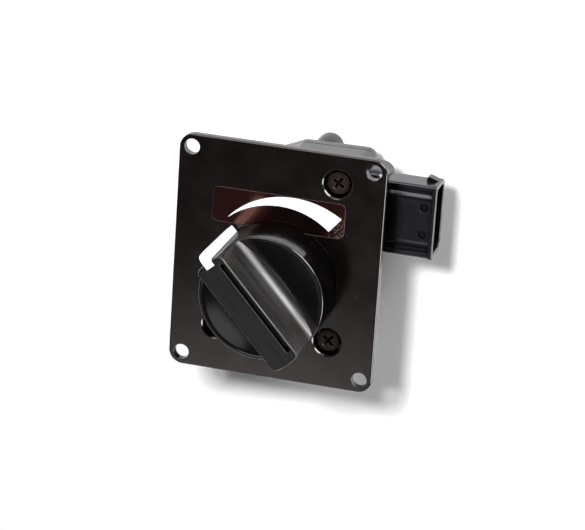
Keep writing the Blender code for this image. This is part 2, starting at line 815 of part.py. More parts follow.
def make_rotor():
    """The carrier that turns the wiper, with the lug that meets the stops."""
    profile = [
        (0, 26.6 * MM),
        (5.6 * MM, 26.6 * MM),
        (6.0 * MM, 26.2 * MM),
        (6.0 * MM, 22.8 * MM),
        (13.0 * MM, 22.8 * MM),
        (13.0 * MM, 20.8 * MM),
        (0, 20.8 * MM),
    ]
    rotor = finished(turned("wiper_rotor", profile, (0, 0), UNIT, 40))
    lug = box("lug", (11 * MM, -2 * MM, 20.8 * MM), (17.5 * MM, 2 * MM, 25 * MM), TOOLS)
    turn_about_z(lug, 180 + 90 + POINTER_ANGLE)
    fuse(rotor, [lug])
    outline = d_outline(SHAFT_RADIUS + 0.06 * MM, SHAFT_FLAT + 0.06 * MM)
    bore = slab("bore_tool", outline, 20 * MM, 24.2 * MM, TOOLS)
    turn_about_z(bore, POINTER_ANGLE)
    top = upright("bore_tool", 3.06 * MM, (0, 0), 24.1 * MM, 28 * MM, TOOLS, 40)
    cut(rotor, [bore, top])
    return dress(rotor, MATERIAL["rotor_nylon"])


def make_wiper():
    """A two-finger spring contact under the rotor."""
    base = box(
        "wiper_contact",
        (4.6 * MM, -3.4 * MM, 20.2 * MM),
        (7.6 * MM, 3.4 * MM, 20.5 * MM),
        UNIT,
    )
    fingers = []
    for y, reach in ((2.2, 11.6), (-2.2, 9.4)):
        start = 7.2 * MM
        length = reach * MM - start
        finger = box(
            "finger",
            (0, -0.8 * MM, -0.15 * MM),
            (length + 0.3 * MM, 0.8 * MM, 0.15 * MM),
            TOOLS,
        )
        drop = atan2(3.95 * MM, length)
        move = Matrix.Translation((start, y * MM, 20.35 * MM))
        finger.data.transform(move @ Matrix.Rotation(drop, 4, "Y"))
        fingers.append(finger)
    fuse(base, fingers)
    turn_about_z(base, 90 + POINTER_ANGLE)
    return dress(base, MATERIAL["tinned_copper"])


def make_board():
    corners = rectangle(36.6 * MM, 46.6 * MM, (4.9 * MM, 10.0 * MM), 2.0 * MM)
    outline = rounded_outline(corners, steps=4)
    board = slab("circuit_board", outline, BOARD_BACK, BOARD_FRONT, UNIT)
    tools = []
    for k in range(PIN_COUNT):
        y = CONNECTOR_Y + (k - (PIN_COUNT - 1) / 2) * PIN_PITCH
        low = (19.1 * MM, y - 0.95 * MM, BOARD_BACK - 1 * MM)
        high = (20.9 * MM, y + 0.95 * MM, BOARD_FRONT + 1 * MM)
        tools.append(box("pin_hole_tool", low, high, TOOLS))
    cut(board, tools)
    return dress(board, MATERIAL["board_laminate"])


def make_track(name, inner, outer, material):
    centre = 90 + POINTER_ANGLE - TRAVEL / 2
    start = centre + TRAVEL / 2 + 18
    stop = centre - TRAVEL / 2 - 18
    outline = ring_sector(inner, outer, start, stop, 20)
    low = BOARD_FRONT + 0.03 * MM
    track = slab(name, outline, low, low + 0.1 * MM, UNIT)
    return dress(track, MATERIAL[material])


def make_pin(number):
    """A blade in the socket, with a leg down through the board."""
    y = CONNECTOR_Y + (number - 1 - (PIN_COUNT - 1) / 2) * PIN_PITCH
    half = 0.75 * MM
    name = "terminal_pin_" + str(number)
    low = (19.5 * MM, y - half, CONNECTOR_Z - 0.4 * MM)
    high = (46.5 * MM, y + half, CONNECTOR_Z + 0.4 * MM)
    pin = box(name, low, high, UNIT, 0.12 * MM)
    leg = box(
        "leg",
        (19.5 * MM, y - half, BOARD_BACK - 0.9 * MM),
        (20.3 * MM, y + half, CONNECTOR_Z),
        TOOLS,
    )
    fuse(pin, [leg])
    return dress(pin, MATERIAL["tinned_copper"])


# --------------------------------------------------------------------- knob
def make_knob():
    rim = RIM_TOP
    low = SKIRT_BOTTOM
    roof = rim - 4.0 * MM
    profile = [
        (0, rim - 1.5 * MM),
        (11.0 * MM, rim - 1.5 * MM),
        (16.0 * MM, rim - 1.25 * MM),
        (19.0 * MM, rim - 0.7 * MM),
        (20.8 * MM, rim - 0.1 * MM),
        (21.2 * MM, rim),
        (21.6 * MM, rim - 0.05 * MM),
        (SKIRT_RADIUS, rim - 0.35 * MM),
        (SKIRT_RADIUS, low + 0.4 * MM),
        (SKIRT_RADIUS - 0.4 * MM, low),
        (19.3 * MM, low),
        (19.3 * MM, roof - 1.0 * MM),
        (18.3 * MM, roof),
        (7.4 * MM, roof),
        (6.6 * MM, roof - 0.8 * MM),
        (6.6 * MM, low + 0.6 * MM),
        (0, low + 0.6 * MM),
    ]
    knob = finished(turned("knob_body", profile, (0, 0), UNIT, 80))

    # Section of the grip across its length, as (side, height).
    foot = rim - 1.45 * MM
    section = []
    half_top = GRIP_TOP_HALF_WIDTH
    half_foot = GRIP_FOOT_HALF_WIDTH
    for k in range(7):
        angle = radians(90 * k / 6)
        section.append((half_foot + 2.0 * MM * (1 - sin(angle)),
                        foot + 2.0 * MM * (1 - cos(angle))))
    for k in range(5):
        angle = radians(90 * k / 4)
        section.append((half_top - 0.5 * MM + 0.5 * MM * cos(angle),
                        GRIP_TOP - 0.5 * MM + 0.5 * MM * sin(angle)))
    left = [(-x, z) for x, z in reversed(section)]
    base = foot - 1.2 * MM
    outline = section + left + [(-section[0][0], base), (section[0][0], base)]
    grip = slab("grip", outline, -24 * MM, 24 * MM, TOOLS)
    grip.data.transform(Matrix(((1, 0, 0, 0), (0, 0, -1, 0), (0, 1, 0, 0), (0, 0, 0, 1))))
    mould = turned(
        "grip_end_tool",
        [
            (0, GRIP_TOP + 1 * MM),
            (20.4 * MM, GRIP_TOP + 1 * MM),
            (20.5 * MM, GRIP_TOP - 0.02 * MM),
            (21.2 * MM, GRIP_TOP - 0.4 * MM),
            (21.5 * MM, GRIP_TOP - 1.2 * MM),
            (GRIP_END_RADIUS - 0.4 * MM, rim - 1.0 * MM),
            (GRIP_END_RADIUS - 0.4 * MM, base - 1 * MM),
            (0, base - 1 * MM),
        ],
        (0, 0),
        TOOLS,
        80,
    )
    keep_inside(grip, [finished(mould)])
    groove = box(
        "groove_tool",
        (GRIP_TOP_HALF_WIDTH - 2.1 * MM, -18.3 * MM, GRIP_TOP - 1.0 * MM),
        (GRIP_TOP_HALF_WIDTH - 0.8 * MM, 18.6 * MM, GRIP_TOP + 1 * MM),
        TOOLS,
    )
    slot = box(
        "pointer_slot_tool",
        (-POINTER_WIDTH / 2 - 0.05 * MM, 19.5 * MM, GRIP_TOP - 1.3 * MM),
        (POINTER_WIDTH / 2 + 0.05 * MM, 30 * MM, GRIP_TOP + 2 * MM),
        TOOLS,
    )
    cut(grip, [groove, slot])
    turn_about_z(grip, POINTER_ANGLE)
    fuse(knob, [grip])
    outline = d_outline(SHAFT_RADIUS + 0.06 * MM, SHAFT_FLAT + 0.06 * MM)
    bore = slab("bore_tool", outline, low - 1 * MM, SHAFT_TOP + 0.3 * MM, TOOLS)
    turn_about_z(bore, POINTER_ANGLE)
    cut(knob, [bore])
    return dress(knob, MATERIAL["knob_plastic"], 28)


def make_pointer():
    """The white hooked strip: up the end of the grip and over its top."""
    inner = SKIRT_RADIUS + 0.12 * MM
    outer = POINTER_OUTER
    top = GRIP_TOP + 0.15 * MM
    low = PLATE_FRONT + 1.3 * MM
    hook = outer - POINTER_TOP_LENGTH
    under = GRIP_TOP - 1.2 * MM
    outline = [
        (inner, low),
        (outer - 0.9 * MM, low),
        (outer - 0.6 * MM, low + 0.3 * MM),
        (outer, top - 1.2 * MM),
        (outer - 0.4 * MM, top - 0.4 * MM),
        (outer - 1.2 * MM, top),
        (hook + 0.3 * MM, top),
        (hook, top - 0.3 * MM),
        (hook, under),
        (inner, under),
    ]
    half = POINTER_WIDTH / 2
    strip = slab("pointer_insert", outline, -half, half, UNIT)
    # The outline is (out, up); stand it up along the knob's axis.
    strip.data.transform(Matrix(((0, 0, 1, 0), (1, 0, 0, 0), (0, 1, 0, 0), (0, 0, 0, 1))))
    # Seen from above it narrows to a rounded nose.
    nose = [(half + 1 * MM, 15 * MM), (half + 1 * MM, 22.3 * MM), (half, 22.3 * MM)]
    for k in range(7):
        angle = radians(15 + 75 * k / 6)
        nose.append((1.3 * MM * cos(angle), outer - 1.1 * MM + 1.15 * MM * sin(angle)))
    plan = nose + [(-x, y) for x, y in reversed(nose[:-1])]
    keep_inside(strip, [slab("nose_tool", plan, low - 1 * MM, top + 1 * MM, TOOLS)])
    turn_about_z(strip, POINTER_ANGLE)
    return dress(strip, MATERIAL["pointer_white"])


make_face_plate()
make_label()
make_wedge()
for index, spot in enumerate(PLATE_SCREW_AT):
    make_plate_screw(index + 1, spot)
    make_insert(index + 1, spot)
make_housing()
make_cover()
make_ring_slab(
    "cover_gasket",
    HOUSING_CORNERS,
    0.35 * MM,
    1.6 * MM,
    COVER_FRONT + 0.05 * MM,
    HOUSING_BACK - 0.05 * MM,
    "seal_rubber",
)
for index, spot in enumerate(COLUMN_AT):
    make_cover_screw(index + 1, spot)
make_torus("plate_seal_ring", 14.0 * MM, 0.6 * MM, 32.93 * MM, "seal_rubber")
make_bush()
make_torus("shaft_seal_ring", 4.35 * MM, 1.1 * MM, 37.5 * MM, "seal_rubber", 28)
make_shaft()
make_retaining_ring()
make_wave_washer()
make_rotor()
make_wiper()
make_board()
make_track("resistive_track", 10.9 * MM, 12.6 * MM, "carbon_ink")
make_track("collector_track", 8.6 * MM, 10.3 * MM, "silver_ink")
for index in range(PIN_COUNT):
    make_pin(index + 1)

# The knob group turns about an empty on the shaft axis.
PIVOT = bpy.data.objects.new("knob_pivot", None)
PIVOT.location = (0, 0, PLATE_FRONT)
UNIT.objects.link(PIVOT)
make_knob()
make_pointer()
bpy.context.view_layer.update()
for part_name in (
    "knob_body",
    "pointer_insert",
    "control_shaft",
    "retaining_ring",
    "wiper_rotor",
    "wiper_contact",
):
    moving = bpy.data.objects[part_name]
    moving.parent = PIVOT
    moving.matrix_parent_inverse = Matrix.Translation((0, 0, -PLATE_FRONT))
bpy.context.view_layer.update()
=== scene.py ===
import json
from math import atan2, cos, pi, radians, sin, sqrt

import bmesh
import bpy
from mathutils import Matrix, Vector


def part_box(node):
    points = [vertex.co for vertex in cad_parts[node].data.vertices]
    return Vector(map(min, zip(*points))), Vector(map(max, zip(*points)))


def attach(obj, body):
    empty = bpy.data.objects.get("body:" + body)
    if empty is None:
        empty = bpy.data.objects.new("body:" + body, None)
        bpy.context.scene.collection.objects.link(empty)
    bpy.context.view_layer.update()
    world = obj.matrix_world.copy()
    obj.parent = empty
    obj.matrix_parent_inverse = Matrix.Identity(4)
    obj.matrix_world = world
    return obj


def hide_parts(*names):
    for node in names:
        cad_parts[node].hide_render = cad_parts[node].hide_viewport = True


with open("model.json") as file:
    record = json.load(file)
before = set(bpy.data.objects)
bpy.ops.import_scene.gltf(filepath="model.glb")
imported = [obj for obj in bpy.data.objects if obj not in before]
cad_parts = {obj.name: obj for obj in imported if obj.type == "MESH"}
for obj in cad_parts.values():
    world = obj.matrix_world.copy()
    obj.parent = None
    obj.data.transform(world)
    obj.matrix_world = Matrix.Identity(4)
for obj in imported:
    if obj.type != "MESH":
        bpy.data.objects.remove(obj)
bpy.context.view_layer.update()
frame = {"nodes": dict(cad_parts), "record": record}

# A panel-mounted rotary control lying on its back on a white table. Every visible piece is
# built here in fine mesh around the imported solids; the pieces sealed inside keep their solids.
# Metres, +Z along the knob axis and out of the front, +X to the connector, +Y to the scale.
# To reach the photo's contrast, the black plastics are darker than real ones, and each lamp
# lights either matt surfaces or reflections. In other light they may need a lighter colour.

MM = 0.001

# ---- sizes taken from the solids ----
PLATE_LOW, PLATE_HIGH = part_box("face_plate")
LABEL_LOW, LABEL_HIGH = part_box("scale_label")
WEDGE_LOW, WEDGE_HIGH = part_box("scale_wedge")
HOUSING_LOW, HOUSING_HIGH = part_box("housing")
COVER_LOW, COVER_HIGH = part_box("rear_cover")
POINTER_LOW, POINTER_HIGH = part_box("pointer_insert")
KNOB_LOW, KNOB_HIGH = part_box("knob_body")

PLATE_FRONT = PLATE_HIGH.z
PLATE_BACK = PLATE_FRONT - 3.0 * MM
PLATE_CENTRE = (PLATE_LOW + PLATE_HIGH) / 2
PLATE_SIZE = PLATE_HIGH - PLATE_LOW
PLATE_CORNER = 5.0 * MM
LABEL_CORNER = 2.0 * MM
HOLE_PITCH_X = 64.0 * MM
HOLE_PITCH_Y = 75.0 * MM
CORNER_HOLES = [
    (PLATE_CENTRE.x + side_x * HOLE_PITCH_X / 2, PLATE_CENTRE.y + side_y * HOLE_PITCH_Y / 2)
    for side_x in (-1, 1)
    for side_y in (-1, 1)
]
CORNER_HOLE_RADIUS = 2.7 * MM


def middle(node):
    low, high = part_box(node)
    return ((low.x + high.x) / 2, (low.y + high.y) / 2)


PLATE_SCREWS = ["plate_screw_1", "plate_screw_2", "plate_screw_3"]
PLATE_SCREW_TURNS = [radians(57), radians(49), radians(20)]
COVER_SCREWS = ["cover_screw_1", "cover_screw_2", "cover_screw_3", "cover_screw_4"]
PINS = ["terminal_pin_1", "terminal_pin_2", "terminal_pin_3", "terminal_pin_4"]
COUNTERBORE_RADIUS = 5.4 * MM
SEAT_RADIUS = 4.6 * MM
COUNTERBORE_DEPTH = 3.4 * MM
COUNTERBORE_CHAMFER = 0.6 * MM
SCREW_HOLE_RADIUS = 2.3 * MM
SHAFT_HOLE_RADIUS = 5.9 * MM
THREAD_PITCH = 0.7 * MM

# The turn, and how far round the shaft's axis and out from it each stop post stands.
POINTER_ANGLE = radians(43.0)
TRAVEL = radians(86)
STOP_SPREAD = radians(15.1)
STOP_REACH = 16.0 * MM
SKIRT_RADIUS = 21.85 * MM
RIM_TOP = PLATE_FRONT + 17.7 * MM
GRIP_TOP = KNOB_HIGH.z
GRIP_TOP_HALF = 5.4 * MM
GRIP_FOOT_HALF = 5.95 * MM
GRIP_REACH = 21.8 * MM

# Corners of the housing seen from the front, with the radius of each.
HOUSING_CORNERS = [
    (26.0 * MM, 43.7 * MM, 3.6 * MM),
    (0.5 * MM, 43.3 * MM, 2.5 * MM),
    (-14.5 * MM, 36.8 * MM, 6.0 * MM),
    (-27.5 * MM, 22.0 * MM, 8.0 * MM),
    (-27.5 * MM, -20.0 * MM, 8.0 * MM),
    (-18.0 * MM, -27.5 * MM, 8.0 * MM),
    (18.0 * MM, -27.5 * MM, 8.0 * MM),
    (26.0 * MM, -20.0 * MM, 8.0 * MM),
]
HOUSING_ROOF = HOUSING_HIGH.z - 1.8 * MM
HOUSING_WALL = 2.2 * MM
SOCKET_Y = 25.15 * MM
SOCKET_Z = 19.1 * MM
SOCKET_HALF_Y = 12.95 * MM
SOCKET_HALF_Z = 6.4 * MM
SOCKET_END = HOUSING_HIGH.x
SOCKET_FLOOR = 34.0 * MM
SOCKET_FACE = SOCKET_Z + SOCKET_HALF_Z

# Turns an outline's x and y into Y and Z, and its height into X.
STAND_ON_EDGE = Matrix(((0, 0, 1, 0), (1, 0, 0, 0), (0, 1, 0, 0), (0, 0, 0, 1)))


# ---- mesh helpers ----
def new_object(name, data):
    item = bpy.data.objects.new(name, data)
    bpy.context.scene.collection.objects.link(item)
    return item


def object_from(name, shape):
    bmesh.ops.recalc_face_normals(shape, faces=shape.faces)
    mesh = bpy.data.meshes.new(name)
    shape.to_mesh(mesh)
    shape.free()
    return new_object(name, mesh)


def skin(name, rings):
    """A closed surface through rings that hold the same number of points."""
    shape = bmesh.new()
    rows = [[shape.verts.new(point) for point in ring] for ring in rings]
    count = len(rings[0])
    for lower, upper in zip(rows, rows[1:]):
        for k in range(count):
            following = (k + 1) % count
            shape.faces.new((lower[k], lower[following], upper[following], upper[k]))
    shape.faces.new(rows[0][::-1])
    shape.faces.new(rows[-1])
    return object_from(name, shape)


def lathe(name, profile, at=(0, 0), steps=96):
    """A turned solid from (radius, height) points; one that starts off the axis is a ring."""
    shape = bmesh.new()
    rows = []
    for radius, height in profile:
        if radius < 1e-9:
            rows.append([shape.verts.new((at[0], at[1], height))])
            continue
        row = []
        for k in range(steps):
            angle = 2 * pi * k / steps
            spot = (at[0] + radius * cos(angle), at[1] + radius * sin(angle), height)
            row.append(shape.verts.new(spot))
        rows.append(row)
    pairs = list(zip(rows, rows[1:]))
    if profile[0][0] > 1e-9:
        pairs.append((rows[-1], rows[0]))
    for upper, lower in pairs:
        for k in range(steps):
            following = (k + 1) % steps
            if len(upper) == 1:
                shape.faces.new((upper[0], lower[k], lower[following]))
            elif len(lower) == 1:
                shape.faces.new((upper[k], lower[0], upper[following]))
            else:
                shape.faces.new((upper[k], lower[k], lower[following], upper[following]))
    return object_from(name, shape)


def arc(centre_r, centre_z, radius, start, stop, steps=6):
    """Profile points along an arc, with the angles in degrees."""
    angles = [radians(start + (stop - start) * k / steps) for k in range(steps + 1)]
    return [(centre_r + radius * cos(a), centre_z + radius * sin(a)) for a in angles]


def rounded_outline(corners, inset=0.0, steps=10):
    """The outline of a convex shape of (x, y, radius) corners, moved in by inset."""
    count = len(corners)
    points = [Vector((x, y)) for x, y, _ in corners]
    area = sum(points[i - 1].cross(points[i]) for i in range(count))
    side = 1.0 if area > 0 else -1.0
    lines = []
    for i in range(count):
        along = (points[(i + 1) % count] - points[i]).normalized()
        inward = Vector((-along.y, along.x)) * side
        lines.append((points[i] + inward * inset, along))
    outline = []
    for i in range(count):
        start_a, along_a = lines[i - 1]
        start_b, along_b = lines[i]
        reach = (start_b - start_a).cross(along_b) / along_a.cross(along_b)
        corner = start_a + along_a * reach
        radius = max(corners[i][2] - inset, 0.15 * MM)
        bend = along_a.angle(along_b)
        first = corner - along_a * (radius * sin(bend / 2) / cos(bend / 2))
        inward = Vector((-along_a.y, along_a.x)) * side
        centre = first + inward * radius
        for k in range(steps + 1):
            spot = centre + Matrix.Rotation(side * bend * k / steps, 2) @ (first - centre)
            outline.append((spot.x, spot.y))
    return outline


def rectangle(width, height, centre, radius):
    """The (x, y, radius) corners of a rectangle."""
    x, y = centre[0], centre[1]
    return [
        (x + width / 2, y + height / 2, radius),
        (x - width / 2, y + height / 2, radius),
        (x - width / 2, y - height / 2, radius),
        (x + width / 2, y - height / 2, radius),
    ]


def low_rim(radius, low, steps=5):
    """The (inset, height) levels of a lower rim rounded to the radius."""
    angles = [pi / 2 * k / steps for k in range(steps + 1 if radius else 1)]
    return [(radius * (1 - sin(angle)), low + radius * (1 - cos(angle))) for angle in angles]


def high_rim(radius, high, steps=5, inward=1):
    """The same for an upper rim, which flares when inward is -1."""
    angles = [pi / 2 * k / steps for k in range(steps + 1 if radius else 1)]
    return [
        (inward * radius * (1 - cos(angle)), high - radius + radius * sin(angle))
        for angle in angles
    ]


def stacked(name, corners, levels):
    """A solid that follows the (x, y, radius) corners through (inset, height) levels."""
    rings = []
    for inset, height in levels:
        rings.append([(x, y, height) for x, y in rounded_outline(corners, inset)])
    return skin(name, rings)


def pillow(name, corners, low, high, low_edge=0.0, high_edge=0.0, steps=5):
    """A slab with its lower and upper rims rounded to the given radii."""
    levels = low_rim(low_edge, low, steps) + high_rim(high_edge, high, steps)
    return stacked(name, corners, levels)


def cylinder(name, radius, low, high, at, steps):
    return lathe(name, [(0, high), (radius, high), (radius, low), (0, low)], at, steps)


def groove_tool(name, outer, inner, low, high):
    """A ring about the shaft's axis."""
    return lathe(name, [(outer, high), (outer, low), (inner, low), (inner, high)])


def extruded(name, outline, low, high):
    return skin(name, [[(x, y, height) for x, y in outline] for height in (low, high)])


def combine(item, others, operation):
    """Cuts, joins or trims with the other solids, which are used up."""
    for other in others:
        step = item.modifiers.new(operation, "BOOLEAN")
        step.operation = operation
        step.solver = "EXACT"
        step.object = other
    graph = bpy.context.evaluated_depsgraph_get()
    mesh = bpy.data.meshes.new_from_object(item.evaluated_get(graph))
    item.modifiers.clear()
    item.data = mesh
    for other in others:
        bpy.data.objects.remove(other, do_unlink=True)
    shape = bmesh.new()
    shape.from_mesh(mesh)
    bmesh.ops.remove_doubles(shape, verts=shape.verts, dist=1e-7)
    bmesh.ops.dissolve_degenerate(shape, edges=shape.edges, dist=1e-7)
    shape.to_mesh(mesh)
    shape.free()
    return item


def cut(item, others):
    return combine(item, others, "DIFFERENCE")


def fuse(item, others):
    return combine(item, others, "UNION")


def keep_inside(item, others):
    return combine(item, others, "INTERSECT")


def hole_tool(at, radius, low, high, low_flare=0.0, high_flare=0.0):
    """A round cutter whose mouths flare, so that the hole it leaves has rounded rims."""
    over = 1.0 * MM
    profile = [(0, high + over), (radius + high_flare, high + over)]
    if high_flare:
        profile += arc(radius + high_flare, high - high_flare, high_flare, 90, 180)
    if low_flare:
        profile += arc(radius + low_flare, low + low_flare, low_flare, 180, 270)
    profile += [(radius + low_flare, low - over), (0, low - over)]
    return lathe("hole_tool", profile, at, 64)


def pocket_tool(corners, floor, mouth, floor_edge=0.0, flare=0.0):
    """A cutter for a pocket with a rounded floor corner and a rounded rim."""
    levels = low_rim(floor_edge, floor) + high_rim(flare, mouth, inward=-1)
    return stacked("pocket_tool", corners, levels + [(-flare, mouth + 1.0 * MM)])


def blind_tool(at, radius, floor, mouth, flare=0.1 * MM):
    """A cutter for a shallow round recess with a rounded rim."""
    over = mouth + 1.0 * MM
    profile = [(0, over), (radius + flare, over)]
    profile += arc(radius + flare, mouth - flare, flare, 90, 180, 4)
    profile += [(radius, floor), (0, floor)]
    return lathe("blind_tool", profile, at, 48)


def turned_about_z(item, angle):
    item.data.transform(Matrix.Rotation(angle, 4, "Z"))
    return item


def along_x(item):
    """Stands a slab on edge, with its outline about the socket's centre."""
    item.data.transform(Matrix.Translation((0, SOCKET_Y, SOCKET_Z)) @ STAND_ON_EDGE)
    return item


def dress(item, slot, body, nodes, sharp_above=32):
    """Gives a piece its finish, smooth shading and body, and hides the solids that it stands for.
    """
    item.data.materials.clear()
    item.data.materials.append(FINISH[slot])
    item.data.shade_smooth()
    item.data.set_sharp_from_angle(angle=radians(sharp_above))
    even = item.modifiers.new("even_normals", "WEIGHTED_NORMAL")
    even.keep_sharp = True
    even.weight = 100
    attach(item, body)
    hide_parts(*nodes)
    return item


# ---- materials ----
class Finish:
    """A Principled material built up from small node recipes, in the piece's own metres."""

    def __init__(self, name, colour, roughness, metallic=0.0):
        self.material = bpy.data.materials.new(name)
        self.material.use_nodes = True
        self.tree = self.material.node_tree
        self.shader = self.tree.nodes["Principled BSDF"]
        self.shader.inputs["Metallic"].default_value = metallic
        self.colour = (*colour, 1)
        self.roughness = roughness
        self.place = self.node("ShaderNodeTexCoord").outputs["Object"]
        self.height = None

    def node(self, kind, **inputs):
        made = self.tree.nodes.new(kind)
        for key, value in inputs.items():
            self.feed(made.inputs[key.replace("_", " ")], value)
        return made

    def feed(self, socket, value):
        if isinstance(value, bpy.types.NodeSocket):
            self.tree.links.new(value, socket)
        else:
            socket.default_value = value

    def stretched(self, size, turn=0.0):
        """The piece's coordinates turned about Z, then counted in steps of the size."""
        mapping = self.node("ShaderNodeMapping", Vector=self.place)
        mapping.vector_type = "TEXTURE"
        mapping.inputs["Rotation"].default_value = (0, 0, turn)
        mapping.inputs["Scale"].default_value = size
        return mapping.outputs["Vector"]

    def noise(self, size, detail=3.0, vector=None, rough=0.55):
        made = self.node("ShaderNodeTexNoise", Scale=1 / size, Detail=detail, Roughness=rough)
        self.feed(made.inputs["Vector"], vector or self.place)
        return made.outputs["Fac"]

    def spread(self, value, low, high, out_low=0.0, out_high=1.0):
        """Maps low..high to out_low..out_high, and holds at the ends."""
        made = self.node("ShaderNodeMapRange", Value=value, From_Min=low, From_Max=high)
        self.feed(made.inputs["To Min"], out_low)
        self.feed(made.inputs["To Max"], out_high)
        return made.outputs["Result"]

    def math(self, operation, first, second):
        made = self.node("ShaderNodeMath")
        made.operation = operation
        self.feed(made.inputs[0], first)
        self.feed(made.inputs[1], second)
        return made.outputs["Value"]

    def times(self, first, second):
        return self.math("MULTIPLY", first, second)

    def specks(self, spacing, size, share):
        """Round specks up to the given size; about that share of the cells holds one."""
        cells = self.node("ShaderNodeTexVoronoi", Vector=self.place, Scale=1 / spacing)
        split = self.node("ShaderNodeSeparateColor", Color=cells.outputs["Color"])
        reach = self.times(split.outputs["Green"], size / spacing)
        near = self.math("LESS_THAN", cells.outputs["Distance"], reach)
        picked = self.math("LESS_THAN", split.outputs["Red"], share)
        return self.times(near, picked)

    def scratches(self, length, width, turn, share):
        """Hairlines of about that length and width; share sets how much they cover."""
        vector = self.stretched((width, length, width), turn)
        made = self.node("ShaderNodeTexNoise", Vector=vector, Scale=1.0, Detail=1.0)
        return self.spread(made.outputs["Fac"], 1 - share, 1 - share + 0.05)

    def edges(self, width):
        """One along the rims of the piece, where handling polishes and lightens it; the label uses
        it for a painted highlight.
        """
        rounded = self.node("ShaderNodeBevel", Radius=width)
        rounded.samples = 4
        flat = self.node("ShaderNodeNewGeometry")
        dot = self.node("ShaderNodeVectorMath")
        dot.operation = "DOT_PRODUCT"
        self.feed(dot.inputs[0], rounded.outputs["Normal"])
        self.feed(dot.inputs[1], flat.outputs["Normal"])
        return self.spread(dot.outputs["Value"], 0.995, 0.85)

    def hollows(self, reach, open_share, closed_share):
        """One deep in grooves and recesses narrower than the reach, and zero in the open."""
        hidden = self.node("ShaderNodeAmbientOcclusion", Distance=reach)
        hidden.samples = 8
        return self.spread(hidden.outputs["AO"], open_share, closed_share)

    def tint(self, factor, colour, strength=None):
        """Lays another colour over the finish where factor is one, at that strength."""
        if strength is not None:
            factor = self.times(factor, strength)
        mixed = self.node("ShaderNodeMix")
        mixed.data_type = "RGBA"
        self.feed(mixed.inputs["Factor"], factor)
        colour_inputs = [i for i in mixed.inputs if i.type == "RGBA"]
        self.feed(colour_inputs[0], self.colour)
        self.feed(colour_inputs[1], (*colour, 1))
        self.colour = [o for o in mixed.outputs if o.type == "RGBA"][0]

    def roughen(self, factor, amount):
        self.roughness = self.math("ADD", self.roughness, self.times(factor, amount))

    def shelter(self, hollow, amount, level=0.5):
        """Weakens the reflections from a specular level where the piece is hollow."""
        left = self.math("SUBTRACT", 1.0, self.times(hollow, amount))
        self.feed(self.shader.inputs["Specular IOR Level"], self.times(left, level))

    def raise_by(self, factor, height):
        """Adds to the fine relief, in metres."""
        step = self.times(factor, height)
        self.height = step if self.height is None else self.math("ADD", self.height, step)

    def done(self):
        """Connects what has been built up, and gives the material."""
        self.feed(self.shader.inputs["Base Color"], self.colour)
        self.feed(self.shader.inputs["Roughness"], self.roughness)
        if self.height is not None:
            bump = self.node("ShaderNodeBump", Height=self.height, Distance=1.0)
            self.feed(self.shader.inputs["Normal"], bump.outputs["Normal"])
        return self.material


def plate_finish():
    """Glossy moulded black with a brown cast, faint flow clouds, hairlines and dust."""
    finish = Finish("plate_plastic", (0.0011, 0.0007, 0.0006), 0.13)
    finish.shader.inputs["IOR"].default_value = 1.55
    finish.shader.inputs["Specular Tint"].default_value = (1.0, 0.88, 0.86, 1)
    cloud = finish.noise(22 * MM, 2.0)
    finish.tint(finish.spread(cloud, 0.4, 0.7, 0, 0.6), (0.0028, 0.0018, 0.0016))
    finish.roughen(finish.noise(0.8 * MM, 2.0), 0.03)
    finish.roughen(finish.spread(finish.noise(9 * MM, 3.0), 0.4, 0.7), 0.05)
    hairline = finish.scratches(9 * MM, 0.12 * MM, 0.7, 0.27)
    finish.roughen(hairline, 0.06)
    finish.tint(hairline, (0.03, 0.026, 0.025), 0.10)
    finish.tint(finish.edges(0.35 * MM), (0.03, 0.027, 0.026), 0.3)
    dust = finish.specks(3.0 * MM, 0.14 * MM, 0.35)
    finish.tint(dust, (0.2, 0.19, 0.18), 0.35)
    lint = finish.specks(7.0 * MM, 0.34 * MM, 0.30)
    finish.tint(lint, (0.10, 0.095, 0.09), 0.35)
    finish.raise_by(finish.noise(6.0 * MM, 2.0), 0.006 * MM)
    finish.raise_by(finish.noise(0.45 * MM, 2.0), 0.0008 * MM)
    return finish.done()


def label_finish():
    """Dark amber film over adhesive that has let go in blotches at one end."""
    finish = Finish("label_film", (0.0045, 0.0010, 0.0009), 0.10)
    finish.shader.inputs["IOR"].default_value = 1.9
    finish.shader.inputs["Specular Tint"].default_value = (1.0, 0.45, 0.40, 1)
    where = finish.node("ShaderNodeSeparateXYZ", Vector=finish.place)
    wander = finish.spread(finish.noise(8 * MM, 2.0), 0.25, 0.75, -3 * MM, 3 * MM)
    upper = LABEL_HIGH.y - 3 * MM
    lower = LABEL_LOW.y + 3 * MM
    lean = finish.spread(where.outputs["Y"], upper, lower, 4 * MM, -3 * MM)
    along = finish.math("ADD", finish.math("ADD", where.outputs["X"], wander), lean)
    inward = finish.spread(along, -8 * MM, -2 * MM)
    outward = finish.spread(along, 18 * MM, 12 * MM)
    finish.tint(finish.times(inward, outward), (0.0016, 0.0009, 0.0009))
    blotch = finish.noise(0.9 * MM, 4.0, rough=0.7)
    at_end = finish.spread(where.outputs["X"], LABEL_HIGH.x - 7 * MM, LABEL_HIGH.x - 3 * MM)
    low_half = finish.spread(where.outputs["Y"], upper, lower)
    patch = finish.times(at_end, low_half)
    mottle = finish.times(finish.spread(blotch, 0.47, 0.62), patch)
    finish.tint(mottle, (0.085, 0.061, 0.055))
    finish.roughen(mottle, 0.25)
    # Painted highlight: the label's rims are coloured lighter, standing in for the glint along its
    # edge.
    finish.tint(finish.edges(0.2 * MM), (0.12, 0.10, 0.095), 0.6)
    finish.roughen(finish.noise(2.0 * MM), 0.05)
    dust = finish.specks(2.6 * MM, 0.11 * MM, 0.25)
    finish.tint(dust, (0.2, 0.17, 0.16), 0.35)
    finish.raise_by(finish.noise(3.5 * MM, 2.0), 0.006 * MM)
    return finish.done()


